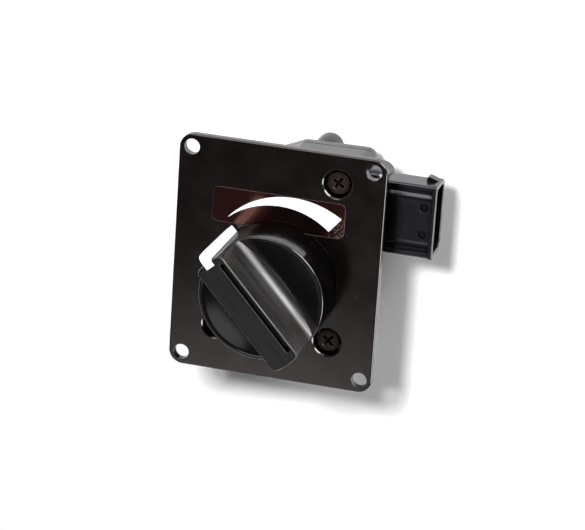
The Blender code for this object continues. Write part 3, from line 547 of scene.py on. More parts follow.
def ink_finish():
    """Screen-printed white, very slightly mottled, with pinholes."""
    finish = Finish("white_ink", (0.86, 0.86, 0.855), 0.45)
    finish.tint(finish.spread(finish.noise(1.6 * MM), 0.4, 0.8, 0, 0.35), (0.80, 0.80, 0.79))
    finish.tint(finish.specks(1.6 * MM, 0.09 * MM, 0.15), (0.5, 0.48, 0.46))
    finish.roughen(finish.noise(0.3 * MM), 0.12)
    finish.raise_by(finish.noise(0.12 * MM, 2.0), 0.002 * MM)
    return finish.done()


def knob_finish():
    """Moulded black: a glossy skirt, and a grip dulled and streaked lengthwise by handling, with a
    painted sheen on its flanks and painted shade in its groove and slot.
    """
    finish = Finish("knob_plastic", (0.0010, 0.0009, 0.0011), 0.13)
    where = finish.node("ShaderNodeSeparateXYZ", Vector=finish.place)
    across_x = finish.times(where.outputs["X"], cos(POINTER_ANGLE))
    across_y = finish.times(where.outputs["Y"], sin(POINTER_ANGLE))
    across = finish.math("ABSOLUTE", finish.math("ADD", across_x, across_y), 0.0)
    on_grip = finish.spread(across, 11.0 * MM, 8.0 * MM)
    # Painted sheen: below its top, the grip's flanks, its filleted foot and the dish beside it are
    # coloured lighter, standing in for the light they catch.
    painted_flank_sheen = finish.spread(where.outputs["Z"], GRIP_TOP - 0.2 * MM, GRIP_TOP - 1.5 * MM)
    finish.tint(on_grip, (0.0034, 0.0031, 0.0032))
    finish.tint(finish.times(on_grip, painted_flank_sheen), (0.0170, 0.0148, 0.0144))
    finish.roughen(on_grip, 0.25)
    grain = finish.stretched((0.8 * MM, 17 * MM, 3.0 * MM), POINTER_ANGLE)
    streak = finish.noise(1.0, 3.0, grain)
    streaked = finish.times(finish.spread(streak, 0.42, 0.68), on_grip)
    finish.tint(streaked, (0.0020, 0.0018, 0.0018), 0.75)
    finish.roughen(streaked, -0.08)
    finish.raise_by(streaked, 0.004 * MM)
    cloud = finish.noise(9 * MM, 3.0)
    finish.tint(finish.spread(cloud, 0.45, 0.75, 0, 0.3), (0.0055, 0.0049, 0.0049))
    finish.roughen(finish.spread(finish.noise(4 * MM, 4.0), 0.3, 0.8, -0.6, 0.8), 0.04)
    finish.roughen(finish.scratches(9 * MM, 0.12 * MM, 0.9, 0.30), 0.06)
    finish.tint(finish.edges(0.35 * MM), (0.075, 0.071, 0.070), 0.65)
    # Painted shade: the grip's groove, its slot and other narrow hollows are coloured near black
    # where shade falls in them.
    hollow = finish.hollows(2.2 * MM, 0.75, 0.45)
    finish.tint(hollow, (0.0006, 0.0005, 0.0005))
    dulled = finish.times(on_grip, finish.spread(streak, 0.38, 0.62, 0.13, 0.0))
    finish.shelter(hollow, 0.85, finish.math("SUBTRACT", 0.5, dulled))
    lint = finish.specks(2.8 * MM, 0.11 * MM, 0.2)
    finish.tint(lint, (0.25, 0.25, 0.25), 0.3)
    finish.raise_by(finish.noise(0.22 * MM, 2.0), 0.0016 * MM)
    finish.raise_by(finish.noise(3.0 * MM, 2.0), 0.006 * MM)
    return finish.done()


def pointer_finish():
    """Satin white plastic with faint scuffs."""
    finish = Finish("pointer_white", (0.87, 0.87, 0.865), 0.35)
    finish.shader.inputs["Subsurface Weight"].default_value = 0.05
    finish.shader.inputs["Subsurface Radius"].default_value = (0.001, 0.001, 0.001)
    finish.tint(finish.spread(finish.noise(1.4 * MM), 0.45, 0.8, 0, 0.4), (0.80, 0.80, 0.785))
    finish.tint(finish.specks(1.5 * MM, 0.1 * MM, 0.2), (0.45, 0.43, 0.41))
    finish.roughen(finish.noise(0.35 * MM), 0.15)
    finish.raise_by(finish.noise(0.2 * MM, 2.0), 0.002 * MM)
    return finish.done()


def housing_finish():
    """Moulded glass-filled black: slightly mottled, with flow lines and rubbed rims."""
    finish = Finish("housing_plastic", (0.0016, 0.0016, 0.0019), 0.17)
    finish.shader.inputs["Specular Tint"].default_value = (0.93, 0.88, 1.0, 1)
    cloud = finish.noise(7 * MM, 4.0)
    finish.tint(finish.spread(cloud, 0.4, 0.75, 0, 0.7), (0.0036, 0.0035, 0.0040))
    finish.roughen(finish.spread(finish.noise(2.5 * MM, 4.0), 0.3, 0.75), 0.07)
    flow = finish.noise(1.0, 2.0, finish.stretched((17 * MM, 0.9 * MM, 9 * MM)))
    finish.roughen(finish.spread(flow, 0.4, 0.8), 0.07)
    finish.tint(finish.edges(0.3 * MM), (0.02, 0.02, 0.022), 0.4)
    dust = finish.specks(2.4 * MM, 0.11 * MM, 0.22)
    finish.tint(dust, (0.2, 0.2, 0.2), 0.3)
    finish.shelter(finish.hollows(1.6 * MM, 0.95, 0.68), 0.8)
    finish.raise_by(finish.noise(0.3 * MM, 3.0), 0.004 * MM)
    finish.raise_by(finish.noise(4 * MM, 2.0), 0.010 * MM)
    return finish.done()


def bronze_finish():
    """Dark bronze plating, rubbed through to a lighter tone at the rims."""
    finish = Finish("screw_bronze", (0.022, 0.0122, 0.0090), 0.34, 0.6)
    cloud = finish.noise(1.3 * MM, 4.0)
    finish.tint(finish.spread(cloud, 0.4, 0.7, 0, 0.6), (0.038, 0.0225, 0.0170))
    finish.tint(finish.edges(0.25 * MM), (0.24, 0.170, 0.130), 0.85)
    finish.roughen(finish.noise(0.25 * MM, 3.0), 0.2)
    finish.tint(finish.specks(0.9 * MM, 0.1 * MM, 0.25), (0.02, 0.013, 0.01))
    # Painted shade: the cross recess and other narrow hollows of the screw are coloured near black
    # where shade falls in them.
    recess = finish.hollows(1.8 * MM, 0.80, 0.55)
    finish.tint(recess, (0.0008, 0.0006, 0.0006))
    finish.roughen(recess, 0.35)
    finish.shelter(recess, 0.85)
    finish.raise_by(finish.noise(0.15 * MM, 3.0), 0.006 * MM)
    return finish.done()


def metal_finish(name, colour, roughness, stain):
    """Turned or stamped metal with fine tool marks and a little staining."""
    finish = Finish(name, colour, roughness, 1.0)
    finish.tint(finish.spread(finish.noise(1.5 * MM, 4.0), 0.45, 0.75, 0, 0.7), stain)
    marks = finish.noise(1.0, 1.0, finish.stretched((2.5 * MM, 2.5 * MM, 0.07 * MM)))
    finish.roughen(marks, 0.15)
    finish.raise_by(marks, 0.003 * MM)
    finish.tint(finish.specks(1.2 * MM, 0.1 * MM, 0.2), stain)
    return finish.done()


def matt_finish(name, colour, roughness, drift, grain):
    """Rubber, nylon, laminate or printed ink: mottled, grained and lightly dusty."""
    finish = Finish(name, colour, roughness)
    finish.tint(finish.spread(finish.noise(2.0 * MM, 4.0), 0.4, 0.75, 0, 0.8), drift)
    finish.roughen(finish.noise(0.4 * MM), 0.12)
    finish.tint(finish.specks(1.5 * MM, 0.1 * MM, 0.2), (0.4, 0.4, 0.4), 0.4)
    finish.raise_by(finish.noise(grain, 3.0), 0.006 * MM)
    return finish.done()


FINISH = {
    "plate_plastic": plate_finish(),
    "label_film": label_finish(),
    "white_ink": ink_finish(),
    "knob_plastic": knob_finish(),
    "pointer_white": pointer_finish(),
    "housing_plastic": housing_finish(),
    "screw_bronze": bronze_finish(),
}
# Colour, roughness and stain.
METALS = {
    "brass": ((0.62, 0.45, 0.19), 0.26, (0.4, 0.24, 0.09)),
    "steel": ((0.52, 0.52, 0.53), 0.26, (0.33, 0.31, 0.29)),
    "tinned_copper": ((0.72, 0.69, 0.63), 0.24, (0.5, 0.42, 0.33)),
    "silver_ink": ((0.62, 0.62, 0.61), 0.4, (0.4, 0.38, 0.35)),
}
# Colour, roughness, the colour it drifts to, and the size of its grain.
MATT = {
    "seal_rubber": ((0.018, 0.018, 0.018), 0.6, (0.03, 0.03, 0.03), 0.2 * MM),
    "rotor_nylon": ((0.7, 0.68, 0.62), 0.42, (0.6, 0.56, 0.48), 0.3 * MM),
    "board_laminate": ((0.03, 0.16, 0.06), 0.35, (0.05, 0.21, 0.09), 0.4 * MM),
    "carbon_ink": ((0.02, 0.02, 0.02), 0.5, (0.035, 0.035, 0.035), 0.1 * MM),
}
FINISH.update({name: metal_finish(name, *look) for name, look in METALS.items()})
FINISH.update({name: matt_finish(name, *look) for name, look in MATT.items()})


# ---- face plate ----
def counterbore_tool(at):
    """A cutter for a plate screw's seat, with a chamfered mouth."""
    front = PLATE_FRONT
    under = PLATE_LOW.z - 1 * MM
    floor = front - COUNTERBORE_DEPTH
    wall = COUNTERBORE_RADIUS - COUNTERBORE_CHAMFER
    soft = 0.07 * MM
    profile = [(0, front + 1 * MM), (COUNTERBORE_RADIUS + soft, front + 1 * MM)]
    profile += [(COUNTERBORE_RADIUS + soft, front), (COUNTERBORE_RADIUS - soft, front - soft)]
    profile += [(wall + soft, front - COUNTERBORE_CHAMFER + soft)]
    profile += [(wall, front - COUNTERBORE_CHAMFER - soft)]
    profile += [(SEAT_RADIUS + 0.1 * MM, floor + 0.15 * MM), (SEAT_RADIUS, floor)]
    profile += [(SCREW_HOLE_RADIUS, floor), (SCREW_HOLE_RADIUS, under), (0, under)]
    return lathe("counterbore_tool", profile, at)


def build_plate():
    """The face plate on its raised pad, with its holes, screw seats and label pocket."""
    corners = rectangle(PLATE_SIZE.x, PLATE_SIZE.y, PLATE_CENTRE, PLATE_CORNER)
    plate = pillow("plate", corners, PLATE_BACK, PLATE_FRONT, 0.3 * MM, 0.6 * MM, 7)
    low = PLATE_LOW.z
    fuse(plate, [pillow("pad", HOUSING_CORNERS, low, PLATE_BACK + 1 * MM, 0.25 * MM)])
    ends = (PLATE_BACK, PLATE_FRONT, 0.2 * MM, 0.25 * MM)
    tools = [hole_tool(at, CORNER_HOLE_RADIUS, *ends) for at in CORNER_HOLES]
    tools += [counterbore_tool(middle(node)) for node in PLATE_SCREWS]
    tools.append(hole_tool((0, 0), SHAFT_HOLE_RADIUS, low, PLATE_FRONT, 0, 0.3 * MM))
    size = LABEL_HIGH - LABEL_LOW
    centre = (LABEL_LOW + LABEL_HIGH) / 2
    pocket = rectangle(size.x + 0.2 * MM, size.y + 0.2 * MM, centre, LABEL_CORNER)
    tools.append(pocket_tool(pocket, LABEL_LOW.z - 0.03 * MM, PLATE_FRONT, 0.08 * MM, 0.12 * MM))
    cut(plate, tools)
    return dress(plate, "plate_plastic", "unit", ["face_plate"])


def build_label():
    size = LABEL_HIGH - LABEL_LOW
    corners = rectangle(size.x, size.y, (LABEL_LOW + LABEL_HIGH) / 2, LABEL_CORNER)
    label = pillow("label", corners, LABEL_LOW.z, LABEL_HIGH.z, 0.04 * MM, 0.1 * MM, 4)
    return dress(label, "label_film", "unit", ["scale_label"])


def build_wedge():
    """The white crescent, growing wider clockwise, with a slightly rounded printed edge."""
    inner = 27.65 * MM
    narrow = 0.12 * MM
    wide = 6.5 * MM
    half_angle = 39.9
    steps = 96

    def ring(inset, height):
        points = []
        for k in range(steps + 1):
            angle = radians(90 + half_angle - 2 * half_angle * k / steps)
            points.append(((inner + inset) * cos(angle), (inner + inset) * sin(angle), height))
        for k in range(steps, -1, -1):
            angle = radians(90 + half_angle - 2 * half_angle * k / steps)
            width = narrow + (wide - narrow) * k / steps
            radius = inner + max(width - inset, inset + 0.01 * MM)
            points.append((radius * cos(angle), radius * sin(angle), height))
        return points

    low = WEDGE_LOW.z
    high = WEDGE_HIGH.z
    soft = 0.03 * MM
    wedge = skin("wedge", [ring(0, low), ring(0, high - soft), ring(soft, high)])
    return dress(wedge, "white_ink", "unit", ["scale_wedge"])


# ---- screws ----
def cross_tool(at, top, length, width, depth, turn):
    """A cutter for a cross recess: two tapering blades and a pointed middle."""
    tools = []
    for quarter in (0, pi / 2):
        rings = []
        for share, drop in ((1.15, -0.5 * MM), (1.0, 0.0), (0.62, depth * 0.8), (0.3, depth)):
            half = length / 2 * share
            side = width / 2 * (0.55 + 0.45 * share)
            corners = rectangle(2 * half, 2 * side, (0, 0), 0.12 * MM)
            outline = rounded_outline(corners, 0, 3)
            rings.append([(x, y, top - drop) for x, y in outline])
        tools.append(turned_about_z(skin("blade_tool", rings), quarter + turn))
    point = [(0, top + 0.5 * MM), (width * 0.95, top + 0.5 * MM), (width * 0.75, top - depth * 0.5)]
    point.append((0, top - depth * 1.25))
    tools.append(lathe("point_tool", point, (0, 0), 24))
    for tool in tools:
        tool.data.transform(Matrix.Translation((at[0], at[1], 0)))
    return tools


def thread(crest_radius, root_radius, start, stop):
    """A thread's profile points from the start down to the stop, and the height it got to."""
    points = []
    height = start
    while height > stop:
        points += [(crest_radius, height), (root_radius, height - THREAD_PITCH / 2)]
        height -= THREAD_PITCH
    return points, height


def build_plate_screw(node, turn):
    """A cross-head screw with a slightly domed head, and a thread on its shank."""
    low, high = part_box(node)
    at = middle(node)
    head = (high.x - low.x) / 2
    top = high.z
    seat = top - 1.8 * MM
    profile = [(0, top), (head * 0.3, top - 0.01 * MM), (head * 0.6, top - 0.05 * MM)]
    profile += [(head * 0.74, top - 0.10 * MM), (head * 0.80, top - 0.18 * MM)]
    profile += arc(head - 0.55 * MM, top - 0.75 * MM, 0.55 * MM, 80, 0, 8)
    profile += [(head, seat + 0.15 * MM), (head - 0.15 * MM, seat), (2.0 * MM, seat)]
    turns, end = thread(2.0 * MM, 1.62 * MM, seat - 0.8 * MM, low.z + 1.1 * MM)
    profile += turns + [(2.0 * MM, end), (1.4 * MM, low.z), (0, low.z)]
    screw = lathe(node + "_fine", profile, at, 64)
    cut(screw, cross_tool(at, top, 5.1 * MM, 1.2 * MM, 1.8 * MM, turn))
    return dress(screw, "screw_bronze", "unit", [node])


def build_cover_screw(node, turn):
    """A thread-forming screw, head down, with a pointed end."""
    low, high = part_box(node)
    at = middle(node)
    head = (high.x - low.x) / 2
    face = low.z
    profile = [(0, high.z), (0.5 * MM, high.z), (1.4 * MM, high.z - 1.4 * MM)]
    turns, _ = thread(1.4 * MM, 1.08 * MM, high.z - 1.9 * MM, face + 2.6 * MM)
    profile += turns + [(1.4 * MM, face + 1.8 * MM), (head, face + 1.8 * MM)]
    profile += arc(head - 0.6 * MM, face + 0.6 * MM, 0.6 * MM, 0, -90, 6)
    profile += [(0, face)]
    screw = lathe(node + "_fine", profile, at, 48)
    tools = cross_tool((0, 0), 0, 3.0 * MM, 0.7 * MM, 1.0 * MM, turn)
    flip = Matrix.Translation((at[0], at[1], face)) @ Matrix.Rotation(pi, 4, "X")
    for tool in tools:
        tool.data.transform(flip)
    cut(screw, tools)
    return dress(screw, "steel", "unit", [node])


# ---- knob ----
def grip_ring(half, reach, corner, height):
    """The grip in plan at one height: straight flanks, round ends and rounded corners."""
    corner_y = sqrt((reach - corner) ** 2 - (half - corner) ** 2)
    turn = atan2(corner_y, half - corner)
    quarter = [(half, corner_y * k / 10) for k in range(10)]
    for k in range(8):
        angle = turn * k / 8
        x = half - corner + corner * cos(angle)
        quarter.append((x, corner_y + corner * sin(angle)))
    for k in range(13):
        angle = turn + (pi / 2 - turn) * k / 12
        quarter.append((reach * cos(angle), reach * sin(angle)))
    upper = quarter + [(-x, y) for x, y in reversed(quarter[:-1])]
    lower = [(-x, -y) for x, y in upper[1:-1]]
    return [(x, y, height) for x, y in upper + lower]


def build_grip():
    """The bar across the knob: filleted at its foot, stepped at a seam, rounded on top."""
    foot = RIM_TOP - 1.45 * MM
    fillet = 4.3 * MM
    end_round = 1.2 * MM
    side_round = 0.5 * MM
    seam = GRIP_TOP - 5.0 * MM
    flank_low = foot + fillet

    def half_at(height):
        share = (height - flank_low) / (GRIP_TOP - flank_low)
        half = GRIP_FOOT_HALF + (GRIP_TOP_HALF - GRIP_FOOT_HALF) * share
        over = height - (GRIP_TOP - side_round)
        if over > 0:
            half -= side_round - sqrt(max(side_round**2 - over**2, 0))
        return half

    def reach_at(height):
        over = max(height - (GRIP_TOP - end_round), 0)
        return GRIP_REACH - (end_round - sqrt(max(end_round**2 - over**2, 0)))

    rings = [grip_ring(GRIP_FOOT_HALF + fillet, GRIP_REACH, 0.4 * MM, foot - 1.2 * MM)]
    for k in range(13):
        angle = pi / 2 * k / 12
        half = GRIP_FOOT_HALF + fillet * (1 - sin(angle))
        corner = (0.4 + 1.2 * k / 12) * MM
        rings.append(grip_ring(half, GRIP_REACH, corner, foot + fillet * (1 - cos(angle))))
    step = 0.06 * MM
    for height in (flank_low + 2 * MM, seam - 2 * MM, seam - step):
        rings.append(grip_ring(half_at(height) - step, GRIP_REACH, 1.6 * MM, height))
    for height in (seam, seam + 1 * MM, seam + 2.5 * MM):
        rings.append(grip_ring(half_at(height), GRIP_REACH, 1.6 * MM, height))
    for k in range(13):
        height = GRIP_TOP - end_round * (1 - sin(pi / 2 * k / 12))
        rings.append(grip_ring(half_at(height), reach_at(height), 1.5 * MM, height))
    return skin("grip", rings)


def build_knob():
    """A hollow skirt with a dished top and a hub, and the grip with its two slots."""
    rim = RIM_TOP
    low = KNOB_LOW.z
    roof = rim - 4.0 * MM
    dish = rim - 1.5 * MM
    flat_to = 8
    dished_to = 20.45
    profile = [(0, dish), (4 * MM, dish), (flat_to * MM, dish)]
    for radius in (9.5, 11, 12.5, 14, 15.5, 17, 18.4, 19.6, dished_to):
        share = (radius - flat_to) / (dished_to - flat_to)
        profile.append((radius * MM, dish + 1.22 * MM * share**2))
    profile += arc(20.9 * MM, rim - 0.18 * MM, 0.18 * MM, 150, 90, 4)
    profile += arc(21.3 * MM, rim - 0.55 * MM, 0.55 * MM, 90, 0, 8)
    profile += arc(SKIRT_RADIUS - 0.4 * MM, low + 0.4 * MM, 0.4 * MM, 0, -90)
    profile += [(19.3 * MM, low), (19.3 * MM, roof - 1.0 * MM), (18.3 * MM, roof)]
    profile += [(7.4 * MM, roof), (6.6 * MM, roof - 0.8 * MM)]
    profile += [(6.6 * MM, low + 0.6 * MM), (3.1 * MM, low + 0.6 * MM), (3.1 * MM, roof + 1 * MM)]
    profile += [(0, roof + 1 * MM)]
    knob = lathe("knob", profile, (0, 0), 192)
    grip = build_grip()
    groove = rectangle(1.75 * MM, 36.9 * MM, (3.75 * MM, 0.15 * MM), 0.7 * MM)
    slot = rectangle(3.4 * MM, 8.0 * MM, (0, 23.5 * MM), 0.25 * MM)
    tools = [
        pocket_tool(groove, GRIP_TOP - 1.9 * MM, GRIP_TOP, 0.3 * MM, 0.12 * MM),
        pocket_tool(slot, GRIP_TOP - 1.3 * MM, GRIP_TOP, 0.05 * MM, 0.08 * MM),
    ]
    cut(grip, tools)
    turned_about_z(grip, POINTER_ANGLE)
    fuse(knob, [grip])
    return dress(knob, "knob_plastic", "knob", ["knob_body"], sharp_above=30)


def build_pointer():
    """The white hooked strip: up the end of the grip and over its top, with a rounded nose."""
    inner = SKIRT_RADIUS + 0.12 * MM
    outer = 25.3 * MM
    low = POINTER_LOW.z
    top = POINTER_HIGH.z
    hook = outer - 5.65 * MM
    under = GRIP_TOP - 1.2 * MM
    half = 1.65 * MM
    elbow = 2.2 * MM
    end_round = 1.3 * MM
    soft = 0.35 * MM
    side = [(inner, low), (outer - 0.9 * MM, low), (outer - 0.62 * MM, low + 0.3 * MM)]
    side += arc(outer - elbow, top - elbow, elbow, 0, 90, 10)
    side += arc(hook + soft, top - soft, soft, 90, 180, 5)
    side += [(hook, under), (inner, under)]
    strip = extruded("pointer", side, -3 * MM, 3 * MM)
    strip.data.transform(STAND_ON_EDGE)
    nose = [(half + 1 * MM, 15 * MM), (half + 1 * MM, 22.3 * MM), (half, 22.3 * MM)]
    for k in range(15):
        angle = radians(15 + 75 * k / 14)
        nose.append((1.32 * MM * cos(angle), outer - 1.15 * MM + 1.15 * MM * sin(angle)))
    plan = nose + [(-x, y) for x, y in reversed(nose[:-1])]
    front = arc(half - end_round, low + end_round, end_round, 270, 360, 6)
    front += arc(half - soft, top - soft, soft, 0, 90, 5)
    front += [(-x, y) for x, y in reversed(front)]
    front_tool = extruded("front_tool", front, -30 * MM, -15 * MM)
    front_tool.data.transform(Matrix.Rotation(pi / 2, 4, "X"))
    keep_inside(strip, [extruded("plan_tool", plan, low - 1 * MM, top + 1 * MM), front_tool])
    turned_about_z(strip, POINTER_ANGLE)
    return dress(strip, "pointer_white", "knob", ["pointer_insert"], sharp_above=40)


# ---- housing ----
def shroud_outline(grow=0.0):
    """The connector's outside about its centre, sharper toward the front of the unit."""
    half_y = SOCKET_HALF_Y + grow
    half_z = SOCKET_HALF_Z + grow
    front = 0.9 * MM + grow
    back = 3.6 * MM + grow
    return [
        (half_y, half_z, front),
        (-half_y, half_z, front),
        (-half_y, -half_z, back),
        (half_y, -half_z, back),
    ]


def stop_post(angle):
    """A post that stops the rotor's lug, that far round from the lug at rest."""
    around = pi * 1.5 + POINTER_ANGLE + angle
    at = (STOP_REACH * cos(around), STOP_REACH * sin(around))
    low = 20.6 * MM
    high = HOUSING_ROOF + 1 * MM
    profile = [(0, high), (2 * MM, high), (2 * MM, low + 0.2 * MM), (1.8 * MM, low), (0, low)]
    return lathe("stop_post", profile, at, 32)


def housing_additions():
    """The screw columns, the connector with its shoulder and latch ramp, and the stop posts."""
    low = HOUSING_LOW.z
    column_top = HOUSING_HIGH.z - 1 * MM
    added = []
    for node in COVER_SCREWS:
        added.append(cylinder("column", 4.6 * MM, low, column_top, middle(node), 48))
    shoulder = rectangle(9.0 * MM, 30.0 * MM, (29.0 * MM, 25.9 * MM), 4.0 * MM)
    shoulder_top = SOCKET_FACE + 0.7 * MM
    added.append(pillow("shoulder", shoulder, low, shoulder_top, 0.4 * MM, 2.8 * MM, 10))
    added.append(along_x(pillow("shroud", shroud_outline(), 30 * MM, 50 * MM)))
    lip = shroud_outline(0.35 * MM)
    added.append(along_x(pillow("lip", lip, 49.8 * MM, SOCKET_END, 0.25 * MM, 0.3 * MM)))
    edge = SOCKET_Y + SOCKET_HALF_Y
    ramp = [
        (46.2 * MM, edge - 0.5 * MM, 0.15 * MM),
        (51.0 * MM, edge - 0.5 * MM, 0.15 * MM),
        (51.0 * MM, edge + 0.3 * MM, 0.15 * MM),
        (47.3 * MM, edge + 1.6 * MM, 0.4 * MM),
        (46.4 * MM, edge + 1.4 * MM, 0.4 * MM),
    ]
    ramp_ends = (SOCKET_Z - 2.8 * MM, SOCKET_Z + 0.8 * MM)
    added.append(pillow("ramp", ramp, *ramp_ends, 0.25 * MM, 0.25 * MM))
    added += [stop_post(STOP_SPREAD), stop_post(-TRAVEL - STOP_SPREAD)]
    return added


def housing_cutters():
    """Screw bores, the bush's hole, the socket, its pins' slots, the panel and a seal groove."""
    low = HOUSING_LOW.z
    high = HOUSING_HIGH.z
    tools = []
    for node in PLATE_SCREWS:
        tools.append(blind_tool(middle(node), 3.0 * MM, high - 8.4 * MM, high, 0.2 * MM))
    for node in COVER_SCREWS:
        tools.append(cylinder("pilot_tool", 1.55 * MM, low - 1 * MM, 21 * MM, middle(node), 24))
    tools.append(hole_tool((0, 0), 5.8 * MM, HOUSING_ROOF, high, 0, 0.2 * MM))
    socket = [(11.45 * MM, 4.9 * MM, 1.0 * MM), (-11.45 * MM, 4.9 * MM, 1.0 * MM)]
    socket += [(-11.45 * MM, -4.9 * MM, 2.2 * MM), (11.45 * MM, -4.9 * MM, 2.2 * MM)]
    tools.append(along_x(pocket_tool(socket, SOCKET_FLOOR, SOCKET_END, 0.4 * MM, 0.3 * MM)))
    for node in PINS:
        pin_low, pin_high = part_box(node)
        centre = (pin_low.y + pin_high.y) / 2 - SOCKET_Y
        slot = rectangle(1.9 * MM, 1.1 * MM, (centre, 0), 0.1 * MM)
        tools.append(along_x(pillow("pin_tool", slot, 22.5 * MM, SOCKET_FLOOR + 1 * MM)))
    recess = rectangle(16.4 * MM, 22.5 * MM, (41.5 * MM, SOCKET_Y), 0.7 * MM)
    tools.append(pocket_tool(recess, SOCKET_FACE - 1.0 * MM, SOCKET_FACE, 0.15 * MM, 0.15 * MM))
    seal = (14.9 * MM, 13.1 * MM, high - 1 * MM, high + 1 * MM)
    tools.append(groove_tool("seal_groove_tool", *seal))
    return tools


def crowned_panel():
    """The curved panel that stands in the recess of the connector's front."""
    outline = rectangle(26 * MM, 22.0 * MM, (44.4 * MM, SOCKET_Y), 4.1 * MM)
    panel = pillow("panel", outline, SOCKET_FACE - 4.3 * MM, SOCKET_FACE, 0, 4.0 * MM, 14)
    face = rectangle(20.4 * MM, 21.0 * MM, (40.2 * MM, SOCKET_Y), 0.1 * MM)
    face_tool = pillow("face_tool", face, SOCKET_FACE - 1.4 * MM, SOCKET_FACE + 1 * MM)
    return keep_inside(panel, [face_tool])


def build_housing():
    """The housing shell with its connector, and two ejector marks in the connector's panel."""
    low = HOUSING_LOW.z
    high = HOUSING_HIGH.z
    shell = pillow("housing_shell", HOUSING_CORNERS, low, high, 0.4 * MM, 0.5 * MM)
    inside = rounded_outline(HOUSING_CORNERS, HOUSING_WALL)
    cut(shell, [extruded("room_tool", inside, low - 5 * MM, HOUSING_ROOF)])
    fuse(shell, housing_additions())
    cut(shell, housing_cutters())
    fuse(shell, [crowned_panel()])
    marks = []
    for y in (30.2 * MM, 20.5 * MM):
        marks.append(blind_tool((47.2 * MM, y), 1.5 * MM, SOCKET_FACE - 0.8 * MM, SOCKET_FACE))
    cut(shell, marks)
    return dress(shell, "housing_plastic", "unit", ["housing"])


def bore_tool(name, radius, mouth, depth, at, steps):
    """A cutter for a blind bore up from the back, with a chamfered mouth."""
    wide = radius + 0.2 * MM
    top = mouth + depth
    profile = [(0, top), (radius, top), (radius, mouth + 0.2 * MM), (wide, mouth)]
    return lathe(name, profile + [(wide, mouth - 1 * MM), (0, mouth - 1 * MM)], at, steps)


def build_cover():
    """The rear cover with its round foot, ribs, stub and screw wells."""
    low = COVER_LOW.z
    high = COVER_HIGH.z
    back = 8.0 * MM
    front = 12.3 * MM
    foot_radius = 13.0 * MM
    stub_at = (7.2 * MM, 39.4 * MM)
    stub_radius = 4.8 * MM
    cover = pillow("rear_cover_fine", HOUSING_CORNERS, back, front, 0.9 * MM, 0.3 * MM, 6)
    foot = [(0, back + 1 * MM), (foot_radius, back + 1 * MM)]
    foot += arc(foot_radius - 0.6 * MM, low + 0.6 * MM, 0.6 * MM, 0, -90)
    foot += [(0, low)]
    stub = [(0, back + 1 * MM), (3.85 * MM, back + 0.9 * MM), (stub_radius, back - 3.0 * MM)]
    stub += arc(stub_radius - 0.6 * MM, low + 0.6 * MM, 0.6 * MM, 0, -90)
    stub += [(0, low)]
    added = [lathe("foot", foot, (0, 0), 128), lathe("stub", stub, stub_at, 64)]
    for k in range(8):
        rib = rectangle(11.0 * MM, 1.2 * MM, (17.0 * MM, 0), 0.3 * MM)
        web = pillow("rib", rib, back - 1.5 * MM, back + 1 * MM, 0.3 * MM)
        added.append(turned_about_z(web, pi / 4 * k))
    for x, y in ((-11.5, -11.0), (20.5, -10.5), (-11.5, 20.0), (14.0, 31.0)):
        at = (x * MM, y * MM)
        added.append(cylinder("board_rest", 1.8 * MM, front - 1 * MM, high, at, 24))
    fuse(cover, added)
    tools = []
    for node in COVER_SCREWS:
        tools.append(bore_tool("well_tool", 3.2 * MM, back, 2 * MM, middle(node), 48))
        tools.append(cylinder("shank_tool", 1.7 * MM, back, high + 1 * MM, middle(node), 24))
    tools.append(bore_tool("bore_tool", 1.6 * MM, low, 6 * MM, stub_at, 32))
    tools.append(groove_tool("ring_tool", 10.6 * MM, 9.4 * MM, low - 1 * MM, low + 0.5 * MM))
    cut(cover, tools)
    return dress(cover, "housing_plastic", "unit", ["rear_cover"])


def build_pin(node):
    """A blade with a coined, tapering tip and a leg down to the board."""
    low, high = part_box(node)
    half = (high.y - low.y) / 2
    y = (low.y + high.y) / 2
    thick = 0.4 * MM
    centre = high.z - thick
    rings = []
    taper = [(low.x, 1.0), (high.x - 1.8 * MM, 1.0), (high.x - 0.5 * MM, 0.6), (high.x, 0.35)]
    for x, share in taper:
        corners = rectangle(2 * half * share, 2 * thick * share, (y, centre), 0.12 * MM * share)
        rings.append([(x, a, b) for a, b in rounded_outline(corners, 0, 4)])
    pin = skin(node + "_fine", rings)
    leg = rectangle(0.8 * MM, 2 * half, (low.x + 0.4 * MM, y), 0.1 * MM)
    fuse(pin, [pillow("leg", leg, low.z, centre, 0.15 * MM)])
    return dress(pin, "tinned_copper", "unit", [node])


build_plate()
build_label()
build_wedge()
for screw_node, turn in zip(PLATE_SCREWS, PLATE_SCREW_TURNS):
    build_plate_screw(screw_node, turn)
for number, screw_node in enumerate(COVER_SCREWS):
    build_cover_screw(screw_node, radians(20 + 17 * number))
build_knob()
build_pointer()
build_housing()
build_cover()
for pin_node in PINS:
    build_pin(pin_node)

# The sealed pieces keep their solids and take their finish from the record's slots.
SLOT_OF = {row["node"]: row["material_slot"] for row in frame["record"]["subparts"]}
for node_name, item in frame["nodes"].items():
    if item.hide_render:
        continue
    item.data.materials.clear()
    item.data.materials.append(FINISH[SLOT_OF[node_name]])


# ---- table, light, camera ----
def build_table():
    """A pale matt table whose top is just under the unit."""
    finish = Finish("white_table", (0.9, 0.9, 0.9), 0.7)
    finish.roughen(finish.noise(2 * MM), 0.05)
    finish.raise_by(finish.noise(0.6 * MM, 2.0), 0.002 * MM)
    half = 1.5
    square = [(-half, -half), (half, -half), (half, half), (-half, half)]
    table = extruded("table", square, -20 * MM, -0.02 * MM)
    table.data.materials.append(finish.done())


def add_lamp(name, toward, distance, width, radiance, lights):
    """A round lamp in a direction from the object. It lights matt surfaces or shows in gloss."""
    lamp = bpy.data.lights.new(name, "AREA")
    lamp.shape = "DISK"
    lamp.size = width
    lamp.energy = radiance * pi * pi * width**2 / 4
    item = new_object(name, lamp)
    aim = Vector(toward).normalized()
    item.location = aim * distance
    item.rotation_mode = "QUATERNION"
    item.rotation_quaternion = (-aim).to_track_quat("-Z", "Y")
    item.visible_camera = False
    item.visible_glossy = lights == "gloss"
    item.visible_diffuse = lights == "matt"


